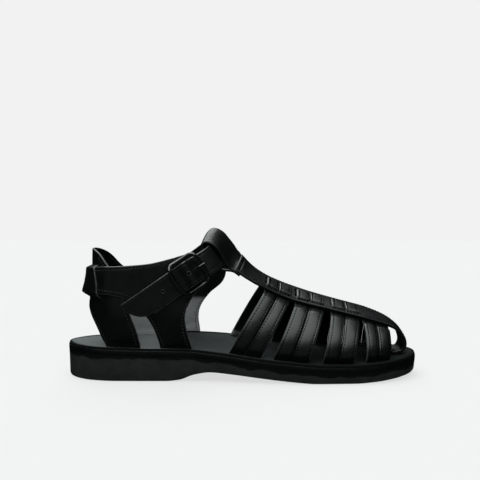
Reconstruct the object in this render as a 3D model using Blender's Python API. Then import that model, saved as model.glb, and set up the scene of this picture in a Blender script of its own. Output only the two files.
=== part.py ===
"""Right-foot woven leather sandal with a T-strap, an instep loop and an ankle buckle.

World frame, metres: +X to the toe, -Y to the outer (lateral) side, +Z up.
All tables and named sizes below are in millimetres.
"""
import math

import bpy
import bmesh
import numpy as np
from mathutils import Vector

MM = 0.001

# ---------------------------------------------------------------- named sizes
LENGTH = 285.0            # sole, heel to toe
SOLE_SHIFT = 2.0          # middle of the sole ahead of the drafting origin
GAP = 0.3                 # clearance between separate pieces
FOOT_GAP = 0.5            # clearance of the straps' feet over the cupped footbed
INSOLE_T = 1.7            # suede footbed
MIDSOLE_T = 4.2           # black board under the footbed
LEATHER = 2.2             # one layer of upper leather
TSTRAP_T = 3.2            # T-strap, two layers sewn together
TSTRAP_CROWN = 1.3        # arch of the T-strap across its width
WEAVE_RISE = 3.4          # how far the first three cross straps rise over its middle
LAP = 0.8                 # overlap of the quarter's leather layers, so they join
BILLET_W = 20.0           # ankle strap width
BILLET_T = 2.2
BUCKLE_ALONG = 26.4       # buckle frame, along the strap
BUCKLE_ACROSS = 28.6      # buckle frame, across the strap
WIRE_R = 1.1              # buckle wire radius
BUCKLE_DROP = -0.4        # middle of the frame above the strap's middle
FOLD_T = 1.4              # chape leather folded round the buckle's bar
INSET_FRONT = 8.5         # cross straps stand this far inside the rim
HALF = LENGTH / 2


def table(names, rows):
    """Named columns from short rows."""
    arr = np.array(rows, float)
    return {n: arr[:, i] for i, n in enumerate(names.split())}


# outline half-widths from the spine line, rim heights and cup depth
SOLE = table("x      spine lateral medial z_lat  z_med  cup", [
    (-142.5, 0.0,  0.0,  0.0, 27.2, 27.2, 0.0),
    (-138.0, 0.0, 14.5, 14.0, 27.0, 27.0, 0.2),
    (-130.0, 0.0, 24.0, 23.3, 26.8, 26.9, 0.7),
    (-118.0, 0.0, 31.0, 29.7, 26.6, 26.8, 1.4),
    (-100.0, 0.0, 34.7, 33.2, 26.2, 27.0, 2.0),
    (-75.0,  0.0, 35.0, 33.5, 25.5, 28.0, 2.2),
    (-45.0,  0.0, 35.0, 31.8, 25.0, 29.4, 2.0),
    (-15.0,  0.0, 37.5, 31.0, 22.3, 28.0, 1.6),
    (10.0,   0.0, 41.0, 34.0, 18.9, 23.4, 1.2),
    (35.0,   0.3, 44.0, 40.5, 16.4, 18.7, 0.9),
    (60.0,   0.8, 46.0, 47.2, 14.6, 15.5, 0.7),
    (82.0,   1.8, 46.0, 50.2, 14.2, 14.4, 0.6),
    (102.0,  2.6, 43.6, 48.0, 15.0, 15.1, 0.5),
    (118.0,  3.2, 37.6, 41.5, 16.2, 16.3, 0.4),
    (130.0,  3.6, 28.4, 31.5, 17.1, 17.2, 0.3),
    (138.0,  3.8, 17.4, 19.5, 17.9, 18.0, 0.1),
    (142.5,  4.0,  0.0,  0.0, 18.4, 18.4, 0.0)])

# height of the outsole's underside: heel block, arch, forefoot flat, toe spring
UNDER = table("x z", [
    (-142.5, 0.0), (-60.0, 0.0), (-50.0, 0.9), (-37.0, 5.2), (-25.0, 7.0), (-7.0, 5.6),
    (14.0, 3.4), (31.0, 1.7), (46.0, 0.5), (56.0, 0.0), (88.0, 0.0), (102.0, 0.6),
    (117.0, 1.6), (127.0, 2.4), (138.0, 3.2), (142.5, 3.6)])
for _tab in (SOLE, UNDER):
    _tab["x"] = _tab["x"] + SOLE_SHIFT

# outer face of the T-strap: near (lateral) edge, far (medial) edge, centre y, width;
# the last rows turn down at the toe and lie back on the footbed
TSTRAP = table("x_near z_near x_far z_far y width", [
    (-4.0,  86.0,   1.7, 97.1, -1.0, 28.0),
    (7.3,   78.8,  10.6, 87.8, -1.0, 28.0),
    (18.6,  72.5,  20.8, 80.7, -1.0, 28.0),
    (31.0,  66.4,  32.4, 75.2, -0.8, 28.0),
    (43.6,  61.6,  44.6, 70.6, -0.5, 28.0),
    (56.0,  58.2,  57.6, 66.2, -0.2, 28.0),
    (68.6,  55.2,  70.5, 62.4,  0.0, 28.0),
    (84.8,  51.2,  86.5, 58.0,  0.2, 28.0),
    (100.1, 47.4, 102.0, 53.9,  0.3, 28.0),
    (111.8, 44.2, 113.2, 49.9,  0.3, 27.5),
    (120.7, 41.4, 121.9, 45.8,  0.2, 27.0),
    (126.2, 38.9, 127.4, 41.8,  0.0, 26.5),
    (130.8, 35.0, 131.8, 36.9,  0.0, 26.0),
    (133.9, 29.8, 134.6, 30.9,  0.0, 25.5),
    (134.8, 24.3, 135.3, 25.0,  0.0, 25.0),
    (132.6, 19.6, 132.9, 19.8,  0.0, 24.5),
    (127.8, 17.2, 128.0, 17.2,  0.0, 24.0),
    (123.6, 16.8, 123.8, 16.8,  0.0, 24.0)])
TSTRAP_STRAIGHT = 11      # rows before the toe turn

# the instep loop: its outer profile beside the T-strap's rear hem (dx, dz); the
# strip leaves the hem, rises over the ankle strap, turns and comes back under
LOOP = table("dx dz", [
    (1.2, -1.4), (-2.4, 0.3), (-5.6, 3.6), (-9.2, 10.2), (-13.9, 17.4),
    (-19.2, 21.3), (-24.0, 22.4), (-27.4, 20.6), (-27.8, 17.0), (-25.0, 13.2),
    (-19.0, 5.9), (-13.6, -0.2), (-9.8, -2.3), (-5.6, -2.5), (-1.4, -3.4), (3.0, -6.6)])

# cross straps: x of rear and front edge at the lateral base, at the T-strap's near
# edge, at its far edge and at the medial base
CROSS = table("b0 b1 n0 n1 f0 f1 m0 m1", [
    (-8.6,  16.4, 19.4,  39.6, 21.5,  43.0,  -8.5,  23.0),
    (25.6,  52.5, 44.2,  67.4, 46.3,  69.0,  26.5,  55.5),
    (63.4,  87.1, 73.2,  96.3, 74.5,  97.0,  66.0,  90.0),
    (97.6, 117.2, 98.9, 120.0, 100.5, 121.5, 98.5, 118.0)])
T_EDGE = 0.30             # cross-strap parameter at the T-strap's edges

# heel: back line and half-width in plan of the quarter's inner face, by height
HEEL = table("z back half_lat half_med", [
    (20.0, -121.6, 27.0, 26.6),
    (40.0, -121.2, 29.4, 28.9),
    (54.0, -121.9, 30.6, 30.1),
    (64.0, -121.0, 30.9, 30.4),
    (76.0, -119.5, 30.6, 30.1),
    (90.0, -119.3, 29.6, 29.1),
    (104.0, -119.2, 27.6, 27.1)])

# counter: rear and front edge as distance round the heel from the back centre, by
# height above the footbed; above COUNTER_SPLIT the rear lines only space the mesh
COUNTER = table("h rear front", [
    (0.0,  31.5, 59.4), (8.0,  27.4, 58.0), (16.0, 22.0, 56.0), (21.0, 17.8, 54.6),
    (25.5, 13.4, 53.4), (30.0, 8.6, 52.0), (36.0, 7.6, 50.5), (46.0, 6.0, 49.0),
    (54.0, 4.8, 44.6), (60.0, 3.8, 36.0), (66.0, 2.9, 29.8), (70.6, 2.2, 24.8),
    (73.6, 1.7, 19.4), (75.6, 1.4, 11.0), (76.3, 1.2, 3.5)])
COUNTER_SPLIT = 30.0      # height where the legs close into one sheet
COUNTER_ARCH = 3.0        # rise of the arch between the rear legs

# band and front leg: upper (front) edge and lower (rear) edge, as distance round
# the heel and height
BAND = table("u_up z_up u_low z_low ahead", [
    (0.0,   85.6, 0.0,  67.7, 0.0),
    (13.0,  86.8, 14.0, 67.5, 0.0),
    (27.0,  88.5, 28.0, 67.1, 0.0),
    (46.0,  89.3, 41.0, 66.3, 0.0),
    (66.0,  91.2, 51.0, 63.8, 0.5),
    (81.5,  95.0, 58.0, 59.2, 3.0),
    (93.5,  98.0, 63.5, 53.6, 8.0),
    (103.5, 95.0, 67.4, 47.6, 13.0),
    (108.6, 86.6, 70.0, 42.2, 15.5),
    (108.6, 76.6, 71.8, 37.6, 13.0),
    (102.6, 66.6, 73.0, 33.8, 9.5),
    (97.2,  54.5, 73.8, 30.8, 8.0),
    (96.0,  43.0, 74.4, 28.4, 6.0),
    (99.6,  25.0, 74.6, 25.0, 3.0)])
MEDIAL_DROP = 4.5         # the medial band sits this much lower
MEDIAL_REAR = -4.0        # and its front leg's rear edge this much further forward
MEDIAL_LEG = 3.5          # the medial rear leg is this much wider, twice at its base
BAND_LOOSE = 4.2          # the band stands off the counter at the back
KEEPER = table("f rear front z", [(0.0, 9.0, 29.5, 62.4), (0.5, 8.8, 26.4, 76.4),
                                  (1.0, 8.4, 22.0, 90.4)])

# ankle strap: centre of its outer face, and the direction across it, upwards
ANKLE = table("x y z ax ay az", [
    (-66.0,  36.9,  70.2, -0.55,  0.02, 0.83),
    (-52.0,  36.2,  79.6, -0.56, -0.04, 0.82),
    (-38.0,  32.2,  89.8, -0.58, -0.14, 0.79),
    (-24.5,  26.6, 100.0, -0.60, -0.20, 0.77),
    (-15.9,  19.2, 106.6, -0.61, -0.12, 0.78),
    (-13.3,  11.8, 108.7, -0.61, -0.03, 0.788),
    (-16.4,  -1.0, 103.2, -0.61,  0.00, 0.790),
    (-19.1, -13.5,  97.2, -0.61,  0.06, 0.785),
    (-28.4, -24.6,  90.6, -0.58,  0.09, 0.80),
    (-40.1, -32.0,  83.3, -0.57,  0.02, 0.82),
    (-54.0, -36.5,  73.8, -0.57, -0.02, 0.82),
    (-66.0, -37.8,  65.4, -0.57, -0.02, 0.82),
    (-77.0, -37.9,  57.8, -0.57, -0.02, 0.82),
    (-86.5, -37.6,  51.4, -0.57, -0.04, 0.82)])
BUCKLE_ROW = 9            # the row of ANKLE at the buckle's bar
HOLES = table("s radius", [(-6.4, 1.5), (-8.0, 1.5), (0.4, 1.0), (12.2, 1.0), (24.0, 1.0)])


# ------------------------------------------------------------------ curve maths
def pchip(xs, ys, x):
    """Monotone cubic through (xs, ys): flats stay flat and nothing overshoots."""
    xs, ys, x = np.asarray(xs, float), np.asarray(ys, float), np.asarray(x, float)
    h = np.diff(xs)
    d = np.diff(ys) / h
    m = np.zeros(len(xs))
    for i in range(1, len(xs) - 1):
        if d[i - 1] * d[i] > 0:
            w1, w2 = 2 * h[i] + h[i - 1], h[i] + 2 * h[i - 1]
            m[i] = (w1 + w2) / (w1 / d[i - 1] + w2 / d[i])
    m[0], m[-1] = d[0], d[-1]
    k = np.clip(np.searchsorted(xs, x) - 1, 0, len(xs) - 2)
    t = np.clip((x - xs[k]) / h[k], 0, 1)
    t2, t3 = t * t, t * t * t
    return ((2 * t3 - 3 * t2 + 1) * ys[k] + (t3 - 2 * t2 + t) * h[k] * m[k]
            + (-2 * t3 + 3 * t2) * ys[k + 1] + (t3 - t2) * h[k] * m[k + 1])


def col(tab, name, x, key="x"):
    return pchip(tab[key], tab[name], x)


def half_width(side, x):
    """Squares are interpolated, so that heel and toe close as round ends."""
    return np.sqrt(np.maximum(pchip(SOLE["x"], SOLE[side] ** 2, x), 0.0))


def curve(points, n, closed=False):
    """Smooth curve through points, resampled evenly (Catmull-Rom on arc length)."""
    p = np.asarray(points, float)
    if closed:
        p = np.vstack([p[-2], p[-1], p, p[0], p[1]])
    s = np.concatenate([[0], np.cumsum(np.linalg.norm(np.diff(p, axis=0), axis=1) ** 0.5)])
    out = []
    lo, hi = (2, len(p) - 2) if closed else (0, len(p) - 1)
    m = np.zeros_like(p)
    for i in range(len(p)):
        a, b = max(i - 1, 0), min(i + 1, len(p) - 1)
        m[i] = (p[b] - p[a]) / (s[b] - s[a])
    for i in range(lo, hi):
        h = s[i + 1] - s[i]
        for t in np.linspace(0, 1, 24, endpoint=False):
            t2, t3 = t * t, t ** 3
            out.append((2 * t3 - 3 * t2 + 1) * p[i] + (t3 - 2 * t2 + t) * h * m[i]
                       + (3 * t2 - 2 * t3) * p[i + 1] + (t3 - t2) * h * m[i + 1])
    out.append(p[hi])
    out = np.array(out)
    ln = np.concatenate([[0], np.cumsum(np.linalg.norm(np.diff(out, axis=0), axis=1))])
    at = np.linspace(0, ln[-1], n)
    return np.stack([np.interp(at, ln, out[:, k]) for k in range(out.shape[1])], 1)


def smoothstep(a, b, x):
    t = np.clip((x - a) / (b - a), 0, 1)
    return t * t * (3 - 2 * t)


def sole_centre():
    """Middle of the sole's outline: the part's origin stands below it."""
    ring = np.vstack(outline(60, 0.0))
    lo, hi = ring.min(axis=0), ring.max(axis=0)
    return np.array([(lo[0] + hi[0]) / 2, (lo[1] + hi[1]) / 2, 0.0])


# ------------------------------------------------------------------- mesh tools
def material(name, rgb, rough, metallic=0.0):
    mat = bpy.data.materials.new(name)
    mat.use_nodes = True
    bsdf = mat.node_tree.nodes["Principled BSDF"]
    bsdf.inputs["Base Color"].default_value = (*rgb, 1)
    bsdf.inputs["Roughness"].default_value = rough
    bsdf.inputs["Metallic"].default_value = metallic
    mat.diffuse_color = (*rgb, 1)
    return mat


def make(name, verts, faces, mat=None, sharp=35.0):
    """Object from millimetre points, centred on the sole, its faces turned outwards."""
    mesh = bpy.data.meshes.new(name)
    pts = (np.asarray(verts, float) - sole_centre()) * MM
    mesh.from_pydata([tuple(map(float, p)) for p in pts], [], faces)
    bm = bmesh.new()
    bm.from_mesh(mesh)
    bmesh.ops.recalc_face_normals(bm, faces=bm.faces)
    bm.to_mesh(mesh)
    bm.free()
    if mat:
        mesh.materials.append(mat)
    mesh.shade_smooth()
    mesh.set_sharp_from_angle(angle=math.radians(sharp))
    obj = bpy.data.objects.new(name, mesh)
    bpy.context.scene.collection.objects.link(obj)
    return obj


def grid_normals(p):
    """Unit normals of a grid of points, from the cross product of its directions."""
    du = np.gradient(p, axis=0)
    dv = np.gradient(p, axis=1)
    n = np.cross(du, dv)
    return n / np.maximum(np.linalg.norm(n, axis=2, keepdims=True), 1e-9)


def slab_mesh(inner, outer, keep=None):
    """Closed solid between two grids of the same size; keep masks its cells."""
    r, c = inner.shape[:2]
    if keep is None:
        keep = np.ones((r - 1, c - 1), bool)
    verts = np.vstack([inner.reshape(-1, 3), outer.reshape(-1, 3)])
    a = lambda i, j: i * c + j
    b = lambda i, j: r * c + i * c + j
    inside = lambda i, j: 0 <= i < r - 1 and 0 <= j < c - 1 and keep[i, j]
    faces = []
    for i in range(r - 1):
        for j in range(c - 1):
            if not keep[i, j]:
                continue
            faces.append((a(i, j), a(i, j + 1), a(i + 1, j + 1), a(i + 1, j)))
            faces.append((b(i, j), b(i + 1, j), b(i + 1, j + 1), b(i, j + 1)))
            for di, dj, p, q in ((-1, 0, (i, j), (i, j + 1)), (1, 0, (i + 1, j), (i + 1, j + 1)),
                                 (0, -1, (i, j), (i + 1, j)), (0, 1, (i, j + 1), (i + 1, j + 1))):
                if not inside(i + di, j + dj):
                    faces.append((a(*p), a(*q), b(*q), b(*p)))
    used = sorted({v for f in faces for v in f})
    index = {v: k for k, v in enumerate(used)}
    return verts[used], [tuple(index[v] for v in f) for f in faces]


def slab(name, inner, outer, mat=None, keep=None):
    return make(name, *slab_mesh(inner, outer, keep), mat)


def boolean(target, others, operation, self_overlap=False):
    """Bake the exact Boolean of target with each of the others into target's mesh."""
    for other in others:
        mod = target.modifiers.new("b", 'BOOLEAN')
        mod.operation = operation
        mod.solver = 'EXACT'
        mod.use_self = self_overlap
        mod.object = other
    dg = bpy.context.evaluated_depsgraph_get()
    mesh = bpy.data.meshes.new_from_object(target.evaluated_get(dg))
    target.modifiers.clear()
    target.data = mesh
    mesh.name = target.name
    for other in others:
        bpy.data.objects.remove(other)
    bm = bmesh.new()
    bm.from_mesh(mesh)
    bmesh.ops.remove_doubles(bm, verts=bm.verts, dist=1e-7)
    bmesh.ops.dissolve_degenerate(bm, edges=bm.edges, dist=1e-7)
    bmesh.ops.triangulate(bm, faces=[f for f in bm.faces if len(f.verts) > 4])
    bm.to_mesh(mesh)
    bm.free()
    mesh.shade_smooth()
    mesh.set_sharp_from_angle(angle=math.radians(35))
    return target


def tube_mesh(path, radius, sides, closed, up=(0, 0, 1)):
    """Swept circle along a path."""
    p = np.asarray(path, float)
    n = len(p)
    verts, faces = [], []
    ref = np.array(up, float)
    for i in range(n):
        if closed:
            t = p[(i + 1) % n] - p[i - 1]
        else:
            t = p[min(i + 1, n - 1)] - p[max(i - 1, 0)]
        t = t / np.linalg.norm(t)
        side = np.cross(t, ref)
        side /= np.linalg.norm(side)
        top = np.cross(side, t)
        for k in range(sides):
            a = 2 * math.pi * (k + 0.5) / sides
            verts.append(p[i] + radius * (math.cos(a) * side + math.sin(a) * top))
    last = n if closed else n - 1
    for i in range(last):
        j = (i + 1) % n
        for k in range(sides):
            q = (k + 1) % sides
            faces.append((i * sides + k, i * sides + q, j * sides + q, j * sides + k))
    if not closed:
        faces.append(tuple(range(sides)))
        faces.append(tuple((n - 1) * sides + k for k in range(sides)))
    return verts, faces


# ------------------------------------------------------------------------- sole
def footbed_z(x, y):
    """Top of the insole: rim heights of both sides, and a shallow cup between."""
    lo = col(SOLE, "spine", x) - half_width("lateral", x)
    hi = col(SOLE, "spine", x) + half_width("medial", x)
    f = np.clip((y - lo) / np.maximum(hi - lo, 1e-6), 0, 1)
    blend = f * f * (3 - 2 * f)
    rim = col(SOLE, "z_lat", x) * (1 - blend) + col(SOLE, "z_med", x) * blend
    return rim - col(SOLE, "cup", x) * np.minimum(1.0, 5.0 * f * (1 - f)) ** 1.0


def outline(n, inset):
    """Lateral and medial edge points, heel to toe, moved inwards by inset."""
    tau = np.linspace(0, math.pi, n)
    x = SOLE_SHIFT - HALF * np.cos(tau)
    s = col(SOLE, "spine", x)
    lat = np.stack([x, s - half_width("lateral", x)], 1)
    med = np.stack([x, s + half_width("medial", x)], 1)
    ring = np.vstack([lat, med[-2:0:-1]])
    t = np.roll(ring, -1, 0) - np.roll(ring, 1, 0)
    nrm = np.stack([-t[:, 1], t[:, 0]], 1)
    nrm /= np.linalg.norm(nrm, axis=1, keepdims=True)
    ring = ring + nrm * inset
    return ring[:n], np.vstack([ring[0], ring[:n - 1:-1], ring[n - 1]])


def sole_layer(name, levels, n, m, mat):
    """Closed layer. levels: (inset, height function) from the top face to the bottom."""
    verts, faces, rings = [], [], []
    caps = []
    for li, (inset, zf) in enumerate(levels):
        lat, med = outline(n, inset)
        edge = li in (0, len(levels) - 1)
        grid = []
        for i in range(n):
            tips = i in (0, n - 1)
            fr = [0.0] if tips else (np.linspace(0, 1, m) if edge else [0.0, 1.0])
            row = []
            for f in fr:
                q = lat[i] * (1 - f) + med[i] * f
                row.append(len(verts))
                verts.append((q[0], q[1], float(zf(q[0], q[1]))))
            grid.append(row)
        rings.append([g[0] for g in grid] + [g[-1] for g in grid[-2:0:-1]])
        if edge:
            caps.append(grid)
    for grid in caps:
        for i in range(n - 1):
            a, b = grid[i], grid[i + 1]
            if len(a) == 1:
                faces += [(a[0], b[j], b[j + 1]) for j in range(m - 1)]
            elif len(b) == 1:
                faces += [(a[j], b[0], a[j + 1]) for j in range(m - 1)]
            else:
                faces += [(a[j], b[j], b[j + 1], a[j + 1]) for j in range(m - 1)]
    for r0, r1 in zip(rings[:-1], rings[1:]):
        k = len(r0)
        faces += [(r0[i], r0[(i + 1) % k], r1[(i + 1) % k], r1[i]) for i in range(k)]
    return make(name, verts, faces, mat)


# -------------------------------------------------------------------- the vamp
def tstrap_grid(n, m):
    """Outer face of the T-strap, rows from the instep hem to the toe end."""
    t = TSTRAP
    dx, dz = (t["x_far"] - t["x_near"]), (t["z_far"] - t["z_near"])
    dy = np.sqrt(t["width"] ** 2 - dx ** 2 - dz ** 2)
    near = np.stack([t["x_near"], t["y"] - dy / 2, t["z_near"]], 1)
    far = np.stack([t["x_far"], t["y"] + dy / 2, t["z_far"]], 1)
    both = curve(np.hstack([near, far]), 600)
    # rows stand closer together round the toe turn
    k = np.arange(600)
    weight = 1 + 1.6 * smoothstep(0.72, 0.84, k / 599)
    way = np.concatenate([[0], np.cumsum(weight)[:-1]])
    at = np.interp(np.linspace(0, way[-1], n), way, k)
    both = np.stack([np.interp(at, k, both[:, c]) for c in range(6)], 1)
    v = np.linspace(0, 1, m)[None, :, None]
    near, far = both[:, None, :3], both[:, None, 3:]
    g = near * (1 - v) + far * v
    flat = 1 - smoothstep(0.86, 0.95, at / 599)[:, None, None]
    g = g + outward_from(g, (0, 0, 1)) * TSTRAP_CROWN * (1 - (2 * v - 1) ** 2) * flat
    tail = at / 599 > 0.9
    g[tail, :, 2] = np.maximum(g[tail, :, 2],
                               footbed_z(g[tail, :, 0], g[tail, :, 1]) + FOOT_GAP)
    return g


def outward_from(grid, direction):
    """Grid normals, turned so that those of the first rows face a direction."""
    nrm = grid_normals(grid)
    return nrm if np.dot(nrm[2, grid.shape[1] // 2], direction) > 0 else -nrm


def bezier(p0, p1, p2, p3, s):
    s = s[:, None]
    return ((1 - s) ** 3 * p0 + 3 * (1 - s) ** 2 * s * p1
            + 3 * (1 - s) * s * s * p2 + s ** 3 * p3)


def tstrap_edges(x_near, x_far, drop):
    """Points on the T-strap's near and far edges, let down by drop."""
    k, m = TSTRAP, TSTRAP_STRAIGHT
    half = np.sqrt(k["width"] ** 2 - (k["x_far"] - k["x_near"]) ** 2
                   - (k["z_far"] - k["z_near"]) ** 2)[:m] / 2
    at = lambda x, key, f: pchip(k[key][:m], f, np.array(x))
    near = np.array([x_near, at(x_near, "x_near", k["y"][:m] - half),
                     at(x_near, "x_near", k["z_near"][:m]) - drop])
    far = np.array([x_far, at(x_far, "x_far", k["y"][:m] + half),
                    at(x_far, "x_far", k["z_far"][:m]) - drop])
    return near, far


def foot_of(side, x):
    """Where a cross strap's edge meets the footbed."""
    reach = half_width("lateral" if side < 0 else "medial", x) - INSET_FRONT
    y = float(col(SOLE, "spine", x) + side * reach)
    return np.array([x, y, float(footbed_z(x, y)) + FOOT_GAP])


def last_section(x_base, x_near, x_far, x_med, t):
    """One cross-strap edge over the last: lateral side, under the T-strap, medial side."""
    near, far = tstrap_edges(x_near, x_far, TSTRAP_T + LEATHER - 1.0)
    base, med = foot_of(-1, x_base), foot_of(1, x_med)
    hl, wl = near[2] - base[2], near[1] - base[1]
    hm, wm = far[2] - med[2], med[1] - far[1]
    lean_l, lean_m = (near[0] - base[0]) / hl, (far[0] - med[0]) / hm
    slope = (far[2] - near[2]) / (far[1] - near[1])
    up_l = np.array([lean_l * 0.9, -0.30, 1.0])
    up_m = np.array([lean_m * 0.9, 0.26, 1.0])
    in_l = np.array([lean_l * 0.7, 1.0, 0.42 + 0.5 * slope])
    in_m = np.array([lean_m * 0.8, -1.0, 0.34 - 0.6 * slope])
    out = np.zeros((len(t), 3))
    a, b = t <= -T_EDGE, t >= T_EDGE
    c = ~a & ~b
    out[a] = bezier(base, base + up_l * 0.42 * hl, near - in_l * 0.58 * wl, near,
                    (t[a] + 1) / (1 - T_EDGE))
    out[b] = bezier(far, far - in_m * 0.55 * wm, med + up_m * 0.45 * hm, med,
                    (t[b] - T_EDGE) / (1 - T_EDGE))
    s = ((t[c] + T_EDGE) / (2 * T_EDGE))[:, None]
    out[c] = near + (far - near) * s
    out[c, 2] += TSTRAP_CROWN * (1 - (2 * s[:, 0] - 1) ** 2)
    return out


def cross_strap_grid(k, n, m):
    """Inner face of cross strap k; rows go over the foot, columns rear to front."""
    c = {key: val[k] for key, val in CROSS.items()}
    t = np.unique(np.concatenate([np.linspace(-1, -T_EDGE, n), np.linspace(-T_EDGE, T_EDGE, 11),
                                  np.linspace(T_EDGE, 1, n)]))
    cols = []
    for v in np.linspace(0, 1, m):
        mix = lambda p, q: c[p] * (1 - v) + c[q] * v
        cols.append(last_section(mix("b0", "b1"), mix("n0", "n1"),
                                 mix("f0", "f1"), mix("m0", "m1"), t))
    return t, np.stack(cols, 1)


def weave_lift(k, t):
    """A cross strap rises through the T-strap's slots; the foremost stays under it."""
    rise = WEAVE_RISE if k < 3 else 0.0
    return rise * smoothstep(-0.21, -0.11, t) * (1 - smoothstep(0.08, 0.17, t))


def seat(grids, rows):
    """Cut the end rows flush with the footbed."""
    for g in grids:
        for r in rows:
            g[r, :, 2] = footbed_z(g[r, :, 0], g[r, :, 1]) + FOOT_GAP


def build_cross_strap(k):
    t, g = cross_strap_grid(k, 8, 4)
    nrm = grid_normals(g)
    if nrm[len(t) // 2, 1, 2] < 0:
        nrm = -nrm
    lift = weave_lift(k, t)[:, None, None]
    inner, outer = g + nrm * lift, g + nrm * (lift + LEATHER)
    seat((inner, outer), (0, -1))
    return slab("cross_%d" % k, inner, outer)


def build_tstrap():
    top = tstrap_grid(42, 5)
    bottom = top - outward_from(top, (0, 0, 1)) * TSTRAP_T
    return slab("upper_vamp", bottom, top)


def loop_swell(run, v):
    """The loop's wall stands fuller at its medial edge, just after it leaves the hem."""
    return 1.7 * smoothstep(0.0, 5.0, run) * (1 - smoothstep(9.0, 24.0, run)) \
        * smoothstep(0.3, 1.0, v)


def build_loop():
    """The loop's wall is one profile swept along the hem, bowed a little in the middle."""
    k = TSTRAP
    hem_near, hem_far = tstrap_edges(k["x_near"][0], k["x_far"][0], 0.0)
    p = curve(np.stack([LOOP["dx"], LOOP["dz"]], 1), 32)
    t = np.gradient(p, axis=0)
    t /= np.linalg.norm(t, axis=1, keepdims=True)
    out = np.stack([t[:, 1], -t[:, 0]], 1)
    run = np.concatenate([[0], np.cumsum(np.linalg.norm(np.diff(p, axis=0), axis=1))])
    faces = []
    for depth in (LEATHER, 0.0):
        rows = []
        for v in np.linspace(0.0, 1.0, 5):
            base = hem_near + (hem_far - hem_near) * v
            base[2] += TSTRAP_CROWN * (1 - (2 * v - 1) ** 2)
            line = p + out * (loop_swell(run, v) - depth)[:, None]
            rows.append([base + np.array([q[0], 0, q[1]]) for q in line])
        faces.append(np.transpose(np.array(rows), (1, 0, 2)))
    return slab("loop", *faces)


# ------------------------------------------------------------------ the quarter
def heel_point(u, z):
    """Inner face of the quarter: u is the distance round the heel, lateral negative."""
    side = np.where(u < 0, -1.0, 1.0)
    w = np.where(u < 0, col(HEEL, "half_lat", z, "z"), col(HEEL, "half_med", z, "z"))
    back = col(HEEL, "back", z, "z")
    u = np.abs(u)
    arc = w * math.pi / 2
    phi = np.minimum(u, arc) / w
    x = back + w * (1 - np.cos(phi)) + np.maximum(u - arc, 0)
    y = w * np.sin(phi)
    tuck = 15.8 * smoothstep(-64.0, -16.0, x) * smoothstep(52.0, 100.0, z)
    toe_in = 1.0 * smoothstep(-70.0, -40.0, x)
    return np.stack([x, side * (y - tuck + toe_in), z + 0 * x], -1)


def heel_normal(u, z):
    """Unit normal of the quarter's surface, pointing away from the foot."""
    e = 0.4
    du = heel_point(u + e, z) - heel_point(u - e, z)
    dz = heel_point(u, z + e) - heel_point(u, z - e)
    nrm = np.cross(dz, du)
    return nrm / np.linalg.norm(nrm, axis=-1, keepdims=True)


def floor_at(u):
    p = heel_point(u, np.full_like(np.asarray(u, float), 26.0))
    return footbed_z(p[..., 0], p[..., 1]) + FOOT_GAP


def leg_extra(h):
    """How much wider the medial rear leg is than the lateral one."""
    return MEDIAL_LEG * (1 - smoothstep(48.0, 66.0, h)) + MEDIAL_LEG * (1 - smoothstep(8.0, 38.0, h))


def build_counter():
    """Rear legs, back and pointed tab as one sheet, open between the legs."""
    split, top = 7, COUNTER["h"][-1]
    h = np.concatenate([np.linspace(0, COUNTER_SPLIT, split + 1),
                        np.linspace(COUNTER_SPLIT, top, 11)[1:]])
    rear, front = col(COUNTER, "rear", h, "h"), col(COUNTER, "front", h, "h")
    c = 8                                        # columns on each leg
    leg = np.linspace(0, 1, c)[None, :]
    side = rear[:, None] * (1 - leg) + front[:, None] * leg
    wide = leg_extra(h)[:, None] * leg
    mid = rear[:, None] * np.linspace(-1, 1, 5)[None, 1:-1]
    u = np.hstack([-side[:, ::-1], mid, side + wide])
    z = 26.6 + h[:, None] + 0 * u
    # the medial side stands a little lower, and the arch between the legs is round
    z = z - 2.0 * smoothstep(6.0, 34.0, u) * smoothstep(0, 30, h)[:, None]
    arch = COUNTER_ARCH * np.clip(1 - (u[split] / rear[split]) ** 2, 0, 1)
    z[split] += arch
    z[split + 1] += arch * 0.4
    g = heel_point(u, z)
    keep = np.ones((len(h) - 1, u.shape[1] - 1), bool)
    keep[:split, c - 1:c + 3] = False
    inner, outer = g.copy(), g + heel_normal(u, z) * LEATHER
    seat((inner, outer), (0,))
    return slab("upper_quarter", inner, outer, None, keep)


def band_uz(n, m):
    """The band's path from the lateral foot of its leg round the heel to the medial foot."""
    half = curve(np.stack([BAND[k] for k in ("u_up", "z_up", "u_low", "z_low")], 1), n)
    lat = half[::-1] * np.array([-1, 1, -1, 1])
    med = half[1:].copy()
    drop = smoothstep(30, 72, med[:, 1::2]) * smoothstep(8, 40, med[:, 0::2])
    # its front edge sweeps forward and up into the ankle strap
    med[:, 0] += pchip(BAND["u_low"], BAND["ahead"], half[1:, 2])
    med[:, 2] += MEDIAL_REAR * smoothstep(60, 74, med[:, 2])
    med[:, 1::2] -= MEDIAL_DROP * drop
    rows = np.vstack([lat, med])
    v = np.linspace(0, 1, m)[None, :]
    return (rows[:, 2:3] * (1 - v) + rows[:, 0:1] * v,
            rows[:, 3:4] * (1 - v) + rows[:, 1:2] * v)


def slack(u, z):
    """How far the band stands off the counter round the back, most at its lower edge."""
    u = np.abs(u)
    loose = BAND_LOOSE * np.clip(1 - u / 34.0, 0, 1) * (1 - 0.7 * smoothstep(66, 88, z))
    return (LAP + 0.5 + loose) * (1 - smoothstep(32, 39, u))


def build_band():
    u, z = band_uz(27, 5)
    # the table's feet stand at 25: let them follow the footbed's height
    z = z + (floor_at(u) - 25.0) * (1 - smoothstep(25, 60, z))
    g = heel_point(u, z)
    nrm = heel_normal(u, z)
    near = np.abs(u)
    off = (LEATHER - LAP) * (1 - smoothstep(50, 66, near)) \
        + slack(u, z)
    inner, outer = g + nrm * off[:, :, None], g + nrm * (off + LEATHER)[:, :, None]
    seat((inner, outer), (0, -1))
    return slab("band", inner, outer)


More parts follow.
